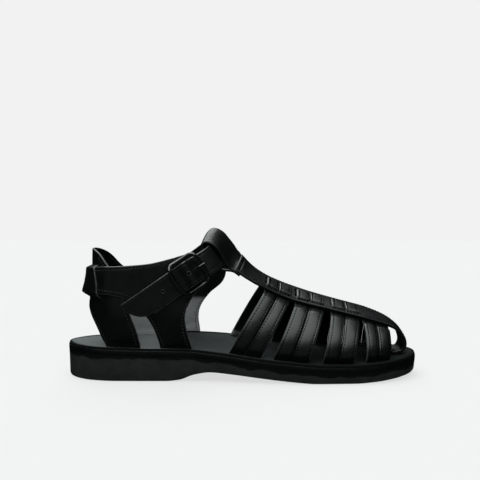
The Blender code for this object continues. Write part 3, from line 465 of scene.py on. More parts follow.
class Face:
    """A smooth face: rows along the piece, closely spaced columns across it."""

    def __init__(self, points, normals=None, out=None, lift=None):
        n = grid_normals(points) if normals is None else normals
        if out is not None:
            i, j = out[0], points.shape[1] // 2
            if np.dot(n[i, j], out[1]) < 0:
                n = -n
        if lift is not None:
            points = points + n * lift[:, :, None]
        self.p, self.n = points, n

    def width(self):
        return np.linalg.norm(np.diff(self.p, axis=1), axis=2).sum(axis=1)

    def length(self):
        c = self.p[:, self.p.shape[1] // 2]
        return np.concatenate([[0], np.cumsum(np.linalg.norm(np.diff(c, axis=0), axis=1))])

    def at(self, v):
        """Points and normals at across-positions v, one row of them for each row."""
        f = np.clip(v, 0, 1) * (self.p.shape[1] - 1)
        i = np.minimum(f.astype(int), self.p.shape[1] - 2)
        f = (f - i)[:, :, None]
        r = np.arange(len(self.p))[:, None]
        n = self.n[r, i] * (1 - f) + self.n[r, i + 1] * f
        return (self.p[r, i] * (1 - f) + self.p[r, i + 1] * f,
                n / np.linalg.norm(n, axis=2, keepdims=True))

    def part(self, v0, v1, n=15):
        """The face between two across-positions."""
        v = np.linspace(v0, v1, n)[None, :] + np.zeros((len(self.p), 1))
        p, nrm = self.at(v)
        return Face(p, nrm)


def columns(w, a, b, mid):
    """Across-positions: a and b are mm from each edge, with mid columns between."""
    w = np.asarray(w, float)[:, None]
    k = np.minimum(1.0, w / (a[-1] + b[-1] + 0.8))
    left = np.array(a)[None, :] * k / w
    right = 1 - np.array(b[::-1])[None, :] * k / w
    f = np.linspace(0, 1, mid + 2)[None, 1:-1]
    return np.hstack([left, left[:, -1:] * (1 - f) + right[:, :1] * f, right])


def rounded(d, r):
    """Height of a rounded edge at distance d from it: 0 inside, -r at the edge."""
    q = np.clip(r - d, 0, r)
    return np.sqrt(r * r - q * q) - r


def seam_marks(*at):
    """Edge columns, and five columns over each seam's groove."""
    out = list(EDGE)
    for s in at:
        out += [s - 0.55, s - 0.25, s, s + 0.25, s + 0.55]
    return out


def groove(d, at, depth=0.16, half=0.34):
    return -depth * np.exp(-((d - at) / half) ** 2)


def sheet(outer, inner, rim, rim_in, lay, lay_in, keep=None):
    """Closed body between an outer and an inner grid, which may differ in columns."""
    r, c = outer.shape[:2]
    ci = inner.shape[1]
    a = lambda i, j: i * c + j
    b = lambda i, j: r * c + i * ci + j
    faces = []
    for i in range(r - 1):
        faces += [(a(i, j), a(i + 1, j), a(i + 1, j + 1), a(i, j + 1)) for j in range(c - 1)]
        faces += [(b(i, j), b(i, j + 1), b(i + 1, j + 1), b(i + 1, j)) for j in range(ci - 1)]
        faces.append((a(i, 0), b(i, 0), b(i + 1, 0), a(i + 1, 0)))
        faces.append((a(i, c - 1), a(i + 1, c - 1), b(i + 1, ci - 1), b(i, ci - 1)))
    for i in (0, r - 1):
        faces.append(tuple(a(i, j) for j in range(c))
                     + tuple(b(i, j) for j in range(ci - 1, -1, -1)))
    return {"verts": np.vstack([outer.reshape(-1, 3), inner.reshape(-1, 3)]), "faces": faces,
            "rim": np.concatenate([rim.ravel(), rim_in.ravel()]),
            "flesh": np.concatenate([np.zeros(r * c), np.ones(r * ci)]),
            "lay": np.vstack([lay.reshape(-1, 3), lay_in.reshape(-1, 3)])}


def strip(face, a, b, mid, thick, relief=None, ends=(False, False), edge_r=0.95, back=None,
          pale=(True, True)):
    """Leather strip with rounded cut edges; relief(da, db, s) adds to its outer height."""
    w, s = face.width(), face.length()

    def side(v):
        p, n = face.at(v)
        da, db = v * w[:, None], (1 - v) * w[:, None]
        sv = s[:, None] + 0 * v
        rim = np.minimum(da, db)
        if ends[0]:
            rim = np.minimum(rim, sv)
        if ends[1]:
            rim = np.minimum(rim, s[-1] - sv)
        lay = np.stack([sv, da - w[:, None] / 2, 0 * sv], 2)
        return p, n, da, db, sv, rim, lay

    p, n, da, db, sv, rim, lay = side(columns(w, a, b, mid))
    h = rounded(rim, min(edge_r, thick / 2))
    if relief is not None:
        h = h + relief(da, db, sv)
    outer = p + n * h[:, :, None]
    p, n, da, db, sv, rim_in, lay_in = side(columns(w, EDGE, EDGE, 5))
    h = -thick - rounded(rim_in, min(edge_r, thick / 2))
    if back is not None:
        h = h + back(da, db, sv)
    inner = p + n * h[:, :, None]
    # pale chooses which long edges take the grey cut-edge tone, partly wear and partly painted
    # highlight; the other edges stay black
    if not pale[0]:
        rim, rim_in = rim + 5.0 * (lay[:, :, 1] < 0), rim_in + 5.0 * (lay_in[:, :, 1] < 0)
    if not pale[1]:
        rim, rim_in = rim + 5.0 * (lay[:, :, 1] > 0), rim_in + 5.0 * (lay_in[:, :, 1] > 0)
    return sheet(outer, inner, rim, rim_in, lay, lay_in)


def lined(body, lo=-2.0, hi=-1.0):
    """The suede of a lining fades out between two heights, a painted shade over its upper part; by
    default it is all black.
    """
    body["flesh"] = body["flesh"] * (1 - smoothstep(lo, hi, body["verts"][:, 2]))
    return body


def plain(verts, faces, rim=9.0, flesh=0.0):
    n = len(verts)
    v = np.asarray(verts, float)
    return {"verts": v, "faces": faces, "rim": np.full(n, rim), "flesh": np.full(n, flesh),
            "lay": v.copy()}


def piece(name, parts, mat, node=None, sharp=38.0):
    """One object from several bodies; it rides the shoe and may stand for a CAD node."""
    verts, faces, at = [], [], 0
    for q in parts:
        verts.append(q["verts"])
        faces += [tuple(int(i) + at for i in f) for f in q["faces"]]
        at += len(q["verts"])
    pts = (np.vstack(verts) - CENTRE) * MM
    mesh = bpy.data.meshes.new(name)
    mesh.from_pydata([tuple(map(float, p)) for p in pts], [], faces)
    for key in ("rim", "flesh"):
        data = np.concatenate([q[key] for q in parts]).astype(np.float32)
        mesh.attributes.new(key, 'FLOAT', 'POINT').data.foreach_set("value", data)
    lay = np.vstack([q["lay"] for q in parts]).astype(np.float32)
    mesh.attributes.new("lay", 'FLOAT_VECTOR', 'POINT').data.foreach_set("vector", lay.ravel())
    bm = bmesh.new()
    bm.from_mesh(mesh)
    bmesh.ops.recalc_face_normals(bm, faces=bm.faces)
    bm.to_mesh(mesh)
    bm.free()
    mesh.materials.append(mat)
    mesh.shade_smooth()
    mesh.set_sharp_from_angle(angle=math.radians(sharp))
    obj = bpy.data.objects.new(name, mesh)
    bpy.context.scene.collection.objects.link(obj)
    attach(obj, "root")
    if node:
        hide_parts(node)
    return obj


def tube(path, radius, sides, closed, up=(0, 0, 1), flat=1.0):
    """Swept round wire; flat squeezes it along the up direction."""
    p = np.asarray(path, float)
    n = len(p)
    radius = np.zeros(n) + radius
    verts, faces = [], []
    ref = np.array(up, float)
    for i in range(n):
        if closed:
            t = p[(i + 1) % n] - p[i - 1]
        else:
            t = p[min(i + 1, n - 1)] - p[max(i - 1, 0)]
        t = t / np.linalg.norm(t)
        side = np.cross(t, ref)
        side /= np.linalg.norm(side)
        top = np.cross(side, t)
        for k in range(sides):
            a = 2 * math.pi * (k + 0.5) / sides
            verts.append(p[i] + radius[i] * (math.cos(a) * side + flat * math.sin(a) * top))
    last = n if closed else n - 1
    for i in range(last):
        j = (i + 1) % n
        for k in range(sides):
            q = (k + 1) % sides
            faces.append((i * sides + k, i * sides + q, j * sides + q, j * sides + k))
    if not closed:
        faces.append(tuple(range(sides)))
        faces.append(tuple((n - 1) * sides + k for k in range(sides)))
    return plain(verts, faces)


# stitches: thread along a seam, dipping into the leather at each end
THREAD = table("along rise radius", [
    (-0.50, -0.34, 0.12), (-0.40, -0.04, 0.28), (-0.18, 0.13, 0.34), (0.0, 0.17, 0.35),
    (0.18, 0.13, 0.34), (0.40, -0.04, 0.28), (0.50, -0.34, 0.12)])
PITCH = 2.6               # one stitch to the next
STITCH = 1.45             # length of the thread that shows


def seam(face, side, mm, height=0.0, skip=(0.0, 0.0)):
    """A line at mm from one edge of a face: points and normals, less skip mm at its ends."""
    w = face.width()[:, None]
    v = mm / w if side == "a" else 1 - mm / w
    p, n = face.at(v)
    p, n = p[:, 0] + n[:, 0] * height, n[:, 0]
    s = np.concatenate([[0], np.cumsum(np.linalg.norm(np.diff(p, axis=0), axis=1))])
    ok = (s >= skip[0]) & (s <= s[-1] - skip[1])
    return p[ok], n[ok]


def thread(lines, sides=6, pitch=PITCH, length=STITCH, thick=1.0):
    """Bodies of the stitches along each (points, normals) line."""
    verts, faces, at = [], [], 0
    k = len(THREAD["along"])
    for p, n in lines:
        s = np.concatenate([[0], np.cumsum(np.linalg.norm(np.diff(p, axis=0), axis=1))])
        count = int(s[-1] / pitch)
        if count < 1:
            continue
        step = s[-1] / count
        mid = (np.arange(count) + 0.5) * step
        pos = lambda q: np.stack([np.interp(q, s, p[:, c]) for c in range(3)], 1)
        nrm = lambda q: np.stack([np.interp(q, s, n[:, c]) for c in range(3)], 1)
        t = pos(mid + 0.5) - pos(mid - 0.5)
        t /= np.linalg.norm(t, axis=1, keepdims=True)
        # the lay of a lockstitch: each one leans a little off the seam's line
        up = nrm(mid)
        up -= t * np.sum(up * t, axis=1, keepdims=True)
        up /= np.linalg.norm(up, axis=1, keepdims=True)
        side = np.cross(t, up)
        t = t + 0.10 * side
        block = np.zeros((count, k, sides, 3))
        for i in range(k):
            c = pos(mid + THREAD["along"][i] * length * 0.0) + t * THREAD["along"][i] * length \
                + up * THREAD["rise"][i]
            for j in range(sides):
                a = 2 * math.pi * j / sides
                r = THREAD["radius"][i] * thick
                block[:, i, j] = c + r * (math.cos(a) * side + 0.8 * math.sin(a) * up)
        verts.append(block.reshape(-1, 3))
        for m in range(count):
            o = at + m * k * sides
            for i in range(k - 1):
                for j in range(sides):
                    q = (j + 1) % sides
                    faces.append((o + i * sides + j, o + i * sides + q,
                                  o + (i + 1) * sides + q, o + (i + 1) * sides + j))
            faces.append(tuple(o + j for j in range(sides)))
            faces.append(tuple(o + (k - 1) * sides + j for j in range(sides)))
        at += count * k * sides
    return plain(np.vstack(verts), faces)


# -------------------------------------------------------------------- the sole
def height_under(x):
    return col(UNDER, "z", x)


def sole_body(levels, n, m, top=None, bottom=None, deep=None):
    """Closed layer. levels: (inset, height function) from the top face to the bottom;
    top and bottom add to the two faces' heights. 'rim' holds the mm below the top edge."""
    verts, faces, rims, rings, caps = [], [], [], [], []
    for li, (inset, zf) in enumerate(levels):
        lat, med = outline(n, inset)
        edge = li in (0, len(levels) - 1)
        grid = []
        for i in range(n):
            tips = i in (0, n - 1)
            fr = [0.0] if tips else (0.5 - 0.5 * np.cos(np.linspace(0, math.pi, m)) if edge
                                     else [0.0, 1.0])
            row = []
            for f in fr:
                q = lat[i] * (1 - f) + med[i] * f
                z = float(zf(q[0], q[1]))
                inside = 0.0 if tips else min(f, 1 - f) * float(np.linalg.norm(med[i] - lat[i]))
                if li == 0 and top is not None:
                    z += float(top(q[0], q[1], inside))
                if li == len(levels) - 1 and bottom is not None:
                    z += float(bottom(q[0], q[1], inside))
                row.append(len(verts))
                verts.append((q[0], q[1], z))
                rims.append(inside if edge and li == 0 else 0.0)
            grid.append(row)
        rings.append([g[0] for g in grid] + [g[-1] for g in grid[-2:0:-1]])
        if edge:
            caps.append(grid)
    for grid in caps:
        for i in range(n - 1):
            a, b = grid[i], grid[i + 1]
            if len(a) == 1:
                faces += [(a[0], b[j], b[j + 1]) for j in range(m - 1)]
            elif len(b) == 1:
                faces += [(a[j], b[0], a[j + 1]) for j in range(m - 1)]
            else:
                faces += [(a[j], b[j], b[j + 1], a[j + 1]) for j in range(m - 1)]
    for r0, r1 in zip(rings[:-1], rings[1:]):
        k = len(r0)
        faces += [(r0[i], r0[(i + 1) % k], r1[(i + 1) % k], r1[i]) for i in range(k)]
    verts = np.array(verts)
    down = levels[0][1](verts[:, 0], verts[:, 1]) - verts[:, 2]
    lay = np.stack([verts[:, 0], verts[:, 1], down], 1)
    return {"verts": verts, "faces": faces, "rim": np.array(rims),
            "flesh": np.zeros(len(verts)), "lay": lay}


def tucked(face, depth=1.3, reach=5.5, both=True):
    """The feet of a strap turn inwards just over the footbed."""
    s = face.length()
    d = np.minimum(s, s[-1] - s) if both else s
    drop = depth * (1 - smoothstep(0.0, reach, d))
    z = face.p[[0, -1], :, 2].copy()
    face.p = face.p - face.n * drop[:, None, None]
    face.p[[0, -1], :, 2] = z
    return face


def dent(x, y, cx, cy, rx, ry, depth):
    """A soft round hollow."""
    return -depth * np.exp(-((x - cx) / rx) ** 2 - ((y - cy) / ry) ** 2)


def tread(x, y, inside):
    """Grooves across the heel and forefoot, inside a plain border; the flats stay level."""
    wave = np.clip(np.abs(((x + 0.10 * y) / 7.5) % 1.0 - 0.5) * 7.5 - 2.6, 0, 1)
    zone = smoothstep(6.0, 8.0, inside) * (1 - smoothstep(-66, -58, x)
                                           + smoothstep(48, 56, x) * (1 - smoothstep(112, 120, x)))
    return 1.1 * wave * zone


def build_sole(mats):
    below = lambda d: (lambda x, y: footbed_z(x, y) - d)
    stack = INSOLE_T + GAP + MIDSOLE_T
    under = lambda x, y: height_under(x) + 0 * y

    def at(f, extra=0.0):
        return lambda x, y: (1 - f) * (footbed_z(x, y) - stack - GAP) + f * under(x, y) + extra

    # footbed: suede sheet, its cut edge turned over the rim
    worn = lambda x, y, d: (dent(x, y, 76, 4, 30, 26, 0.25) + dent(x, y, -98, 0, 22, 20, 0.2))
    foot = sole_body([(1.6, below(0.0)), (1.0, below(0.10)), (0.65, below(0.35)),
                      (0.5, below(0.8)), (0.5, below(INSOLE_T - 0.1))], 150, 41, top=worn)
    piece("footbed", [foot], mats["footbed"], "insole")
    # board: painted edge, a little proud in the middle of its height
    t = INSOLE_T
    board = sole_body([(0.55, below(t)), (0.2, below(t + 0.12)), (0.03, below(t + 0.5)),
                       (0.0, below(t + 1.4)), (0.02, below(t + 2.6)), (0.06, below(t + 3.5)),
                       (0.10, below(t + 4.1)), (0.16, below(stack - 0.0))], 220, 9)
    piece("midsole_board", [board], mats["paint"], "midsole")
    rubber = sole_body([(0.16, at(0.0, 0.27)), (0.22, at(0.0, -0.5)), (0.45, at(0.22)), (0.65, at(0.45)),
                        (0.82, at(0.68)), (0.95, at(1.0, 2.3)), (1.15, at(1.0, 1.5)),
                        (1.45, at(1.0, 0.8)), (1.95, at(1.0, 0.25)), (2.7, at(1.0))],
                       240, 61, bottom=tread)
    piece("rubber_sole", [rubber], mats["rubber"], "outsole")


# -------------------------------------------------------------------- the vamp
SEAM_AT = 0.483           # seam between a cross strap's two strips
STRIP_EDGE = 2.45         # stitch lines from a strip's outer edge
STRIP_SEAM = 1.75         # and from the seam
T_LAYER = 2.6             # visible thickness of the T-strap
T_SEAM = 1.9              # its stitch line from each edge
SLOT = (6.0, 8.4)         # the lateral slots, mm from the T-strap's edge
SLOT_FAR = (3.0, 8.4)     # the medial ones


def tstrap_rows():
    """The T-strap's two edges as one dense curve, with the distance along it."""
    t = TSTRAP
    dx, dz = (t["x_far"] - t["x_near"]), (t["z_far"] - t["z_near"])
    dy = np.sqrt(t["width"] ** 2 - dx ** 2 - dz ** 2)
    near = np.stack([t["x_near"], t["y"] - dy / 2, t["z_near"]], 1)
    far = np.stack([t["x_far"], t["y"] + dy / 2, t["z_far"]], 1)
    both = curve(np.hstack([near, far]), 2400)
    s = np.concatenate([[0], np.cumsum(np.linalg.norm(
        np.diff((both[:, :3] + both[:, 3:]) / 2, axis=0), axis=1))])
    return both, s


def tstrap_face(rows_s, both, s, m=29):
    """The T-strap's outer face at the given distances from its rear hem."""
    edge = np.stack([np.interp(rows_s, s, both[:, c]) for c in range(6)], 1)
    v = np.linspace(0, 1, m)[None, :, None]
    g = edge[:, None, :3] * (1 - v) + edge[:, None, 3:] * v
    n = grid_normals(g)
    if n[2, m // 2, 2] < 0:
        n = -n
    way = rows_s / s[-1]
    flat = 1 - smoothstep(0.80, 0.92, way)[:, None, None]
    g = g + n * TSTRAP_CROWN * (1 - (2 * v - 1) ** 2) * flat
    tail = way > 0.88
    g[tail, :, 2] = np.maximum(g[tail, :, 2],
                               footbed_z(g[tail, :, 0], g[tail, :, 1]) + FOOT_GAP + T_LAYER * 0)
    return Face(g, out=(2, (0, 0, 1)))


def slot_spans(both, s):
    """Distance along the T-strap of each slot's ends, from the cross straps' edges."""
    upto = int(np.argmax(both[:, 0]))
    at = lambda x: float(np.interp(x, both[:upto, 0], s[:upto]))
    return [(at(n0 - 0.06), at(n1 + 0.06)) for n0, n1 in zip(CROSS["n0"][:3], CROSS["n1"][:3])]


def build_tstrap(mats):
    both, s = tstrap_rows()
    spans = slot_spans(both, s)
    ends = sorted(q for span in spans for q in span)
    rows = [0.0, 0.12, 0.3, 0.6, 0.95] + list(np.arange(1.5, 9.0, 0.35)) \
        + list(np.arange(9.0, s[-1] - 1.2, 1.15))
    rows = [q for q in rows if all(abs(q - e) > 0.5 for e in ends)]
    for e in ends:
        rows += [e - 0.25, e, e + 0.25]
    rows = np.array(sorted(rows) + [s[-1] - 0.8, s[-1] - 0.4, s[-1]])
    face = tstrap_face(rows, both, s)
    w, sv = face.width(), rows[:, None]
    near, far = ([*EDGE[:4], T_SEAM - 0.5, T_SEAM - 0.22, T_SEAM, T_SEAM + 0.22, T_SEAM + 0.5,
                  q[0] - 0.2, q[0], q[0] + 0.8, q[0] + 1.6, q[1], q[1] + 0.3]
                 for q in (SLOT, SLOT_FAR))
    v = columns(w, near, far, 5)
    p, n = face.at(v)
    da, db = v * w[:, None], (1 - v) * w[:, None]
    d = np.minimum(da, db)
    rim = np.minimum(d, sv + 0 * d)
    # two ridges of the folded hem at the rear end, with a sewn valley between
    hem = (0.22 * np.exp(-((sv - 1.6) / 1.1) ** 2) + 0.14 * np.exp(-((sv - 5.6) / 1.3) ** 2)
           - 0.25 * np.exp(-((sv - 3.5) / 0.7) ** 2)) * smoothstep(0.5, 4.0, d)
    h = rounded(rim, 0.5) + groove(d, T_SEAM, 0.08) * smoothstep(5, 8, sv) + hem
    keep = np.ones((len(rows) - 1, v.shape[1] - 1), bool)
    lo, hi = near.index(SLOT[0]), v.shape[1] - 1 - far.index(SLOT_FAR[1])
    for a, b in spans:
        r = (rows[:-1] >= a - 0.01) & (rows[1:] <= b + 0.01)
        keep[np.ix_(r, range(lo, hi))] = False
    outer = p + n * h[:, :, None]
    inner = p - n * (T_LAYER + rounded(rim, 0.5))[:, :, None]
    r, c = outer.shape[:2]
    a = lambda i, j: i * c + j
    b = lambda i, j: r * c + i * c + j
    inside = lambda i, j: 0 <= i < r - 1 and 0 <= j < c - 1 and keep[i, j]
    faces = []
    for i in range(r - 1):
        for j in range(c - 1):
            if not keep[i, j]:
                continue
            faces.append((a(i, j), a(i, j + 1), a(i + 1, j + 1), a(i + 1, j)))
            faces.append((b(i, j), b(i + 1, j), b(i + 1, j + 1), b(i, j + 1)))
            for di, dj, q0, q1 in ((-1, 0, (i, j), (i, j + 1)), (1, 0, (i + 1, j), (i + 1, j + 1)),
                                   (0, -1, (i, j), (i + 1, j)), (0, 1, (i, j + 1), (i + 1, j + 1))):
                if not inside(i + di, j + dj):
                    faces.append((a(*q0), a(*q1), b(*q1), b(*q0)))
    used = sorted({q for f in faces for q in f})
    index = {q: k for k, q in enumerate(used)}
    lay = np.stack([sv + 0 * da, da - w[:, None] / 2, 0 * da], 2).reshape(-1, 3)
    body = {"verts": np.vstack([outer.reshape(-1, 3), inner.reshape(-1, 3)])[used],
            "faces": [tuple(index[q] for q in f) for f in faces],
            "rim": np.concatenate([rim.ravel() + 0.3, rim.ravel() + 6.0])[used],
            "flesh": np.zeros(len(used)),
            "lay": np.vstack([lay, lay])[used]}
    lines = [seam(face, side, T_SEAM, -0.1, (8.0, 3.0)) for side in "ab"]
    # the hem's own row of stitches, across the strap
    i = int(np.argmin(np.abs(rows - 3.5)))
    across = np.linspace(1.2, 26.8, 40) / 28.0
    hem_p, hem_n = face.at(np.tile(across, (len(rows), 1)))
    lines.append((hem_p[i] + hem_n[i] * -0.25, hem_n[i]))
    piece("centre_strap", [body], mats["leather"], "upper_vamp")
    return lines


def cross_face(k, n=54, m=27):
    """Outer face of cross strap k, from the lateral foot over the T-strap to the medial."""
    c = {key: val[k] for key, val in CROSS.items()}
    t = np.unique(np.concatenate([np.linspace(-1, -T_EDGE, n), np.linspace(-T_EDGE, T_EDGE, 45),
                                  np.linspace(T_EDGE, 1, n)]))
    cols = []
    for v in np.linspace(0, 1, m):
        mix = lambda p, q: c[p] * (1 - v) + c[q] * v
        cols.append(last_section(mix("b0", "b1"), mix("n0", "n1"),
                                 mix("f0", "f1"), mix("m0", "m1"), t))
    g = np.stack(cols, 1)
    # the corner under the T-strap's edge is eased by a short running mean
    for _ in range(3):
        g[1:-1] = 0.25 * g[:-2] + 0.5 * g[1:-1] + 0.25 * g[2:]
    base = Face(g, out=(len(t) // 2, (0, 0, 1)))
    rise = WEAVE_RISE if k < 3 else 0.0
    lift = rise * smoothstep(-0.25, -0.165, t) * (1 - smoothstep(0.07, 0.14, t)) + LEATHER
    # the strap sinks under the T-strap's two edges, where its shadow lies
    lift = lift - 1.4 * smoothstep(-0.40, -0.31, t) * (1 - smoothstep(-0.26, -0.20, t)) \
        - (1.8 if k < 3 else 0.9) * smoothstep(0.08, 0.17, t) * (1 - smoothstep(0.30, 0.40, t))
    lift = lift[:, None] + np.zeros((1, m))
    p = base.p + base.n * lift[:, :, None]
    for r in (0, -1):
        p[r, :, 2] = footbed_z(p[r, :, 0], p[r, :, 1]) + 0.15
    return tucked(Face(p, base.n)), t


def build_cross_straps(mats):
    parts, lines = [], []
    for k in range(4):
        face, t = cross_face(k)
        puff = (smoothstep(-0.34, -0.2, t) * (1 - smoothstep(0.2, 0.34, t)))[:, None]
        for j, (v0, v1) in enumerate(((0.0, SEAM_AT), (SEAM_AT + 0.004, 1.0))):
            half = face.part(v0, v1)
            first, second = (STRIP_EDGE, STRIP_SEAM) if j == 0 else (STRIP_SEAM, STRIP_EDGE)
            w = float(np.median(half.width()))

            def relief(da, db, s, first=first, second=second, j=j, puff=puff):
                h = groove(da, first, 0.08) + groove(db, second, 0.08)
                h = h + (0.40 - 0.32 * puff) * np.sin(np.pi * np.clip(da / (da + db), 0, 1))
                # both strips turn down into the seam between them
                h = h - 0.45 * np.exp(-((da if j == 1 else db) / 0.5) ** 2)
                return h
            parts.append(lined(strip(half, seam_marks(first), seam_marks(second), 4, LEATHER,
                                     relief, pale=(j == 0, j == 1))))
            for side, mm in (("a", first), ("b", second)):
                lines.append(seam(half, side, mm, 0.12, (1.0, 1.0)))
    piece("cross_straps", parts, mats["leather"])
    return lines


RIBS = 8                  # fine grooves along the instep loop


def loop_swell(run, v):
    """The loop's wall stands fuller at its medial edge, just after it leaves the hem."""
    return 1.7 * smoothstep(0.0, 5.0, run) * (1 - smoothstep(9.0, 24.0, run)) \
        * smoothstep(0.3, 1.0, v)


def build_loop(mats):
    k = TSTRAP
    hem_near, hem_far = tstrap_edges(k["x_near"][0], k["x_far"][0], 0.0)
    p = curve(np.stack([LOOP["dx"], LOOP["dz"]], 1), 150)
    t = np.gradient(p, axis=0)
    t /= np.linalg.norm(t, axis=1, keepdims=True)
    out = np.stack([t[:, 1], -t[:, 0]], 1)
    run = np.concatenate([[0], np.cumsum(np.linalg.norm(np.diff(p, axis=0), axis=1))])
    rows = []
    for v in np.linspace(0.0, 1.0, 25):
        base = hem_near + (hem_far - hem_near) * v
        base[2] += TSTRAP_CROWN * (1 - (2 * v - 1) ** 2)
        rows.append([base + np.array([q[0], 0, q[1]])
                     for q in p + out * loop_swell(run, v)[:, None]])
    g = np.transpose(np.array(rows), (1, 0, 2))
    # the loop's wall faces away from its own inside
    n = np.stack([t[:, 1], 0 * t[:, 0], -t[:, 0]], 1)[:, None, :] + np.zeros_like(g)
    face = Face(g, n)
    marks = list(EDGE)

    def relief(da, db, s):
        u = da / (da + db) * (RIBS + 1)
        q = np.abs(u - np.round(u)) * 28.0 / (RIBS + 1)
        inside = (np.round(u) >= 1) & (np.round(u) <= RIBS)
        return np.where(inside, -0.34 * np.exp(-(q / 0.55) ** 2), 0.0) \
            + 0.12 * np.sin(s / 9.0 + da / 5.0)

    body = lined(strip(face, marks, marks, 70, LEATHER, relief))
    body["rim"] = body["rim"] + 2.0
    piece("instep_loop", [body], mats["leather"])


# ------------------------------------------------------------------ the quarter
Q_SEAM = 2.9              # stitch line from the quarter's edges


def near_line(pts, line):
    """Distance in the plane from each point to a polyline."""
    a, b = line[:-1], line[1:]
    d = b - a
    q = pts[:, None, :] - a[None]
    f = np.clip((q * d).sum(2) / np.maximum((d * d).sum(1), 1e-9), 0, 1)
    return np.sqrt(((q - f[:, :, None] * d) ** 2).sum(2)).min(1)


def counter_z(u, h, rear):
    z = 26.6 + h - 2.0 * smoothstep(6.0, 34.0, u) * smoothstep(0, 30, h)
    arch = COUNTER_ARCH * np.clip(1 - (u / rear) ** 2, 0, 1)
    return z + arch * (h >= COUNTER_SPLIT - 0.01) * np.clip(1 - (h - COUNTER_SPLIT) / 7.0, 0, 1)


def leg_extra(h):
    """How much wider the medial rear leg is than the lateral one."""
    return MEDIAL_LEG * (1 - smoothstep(48.0, 66.0, h)) + MEDIAL_LEG * (1 - smoothstep(8.0, 38.0, h))


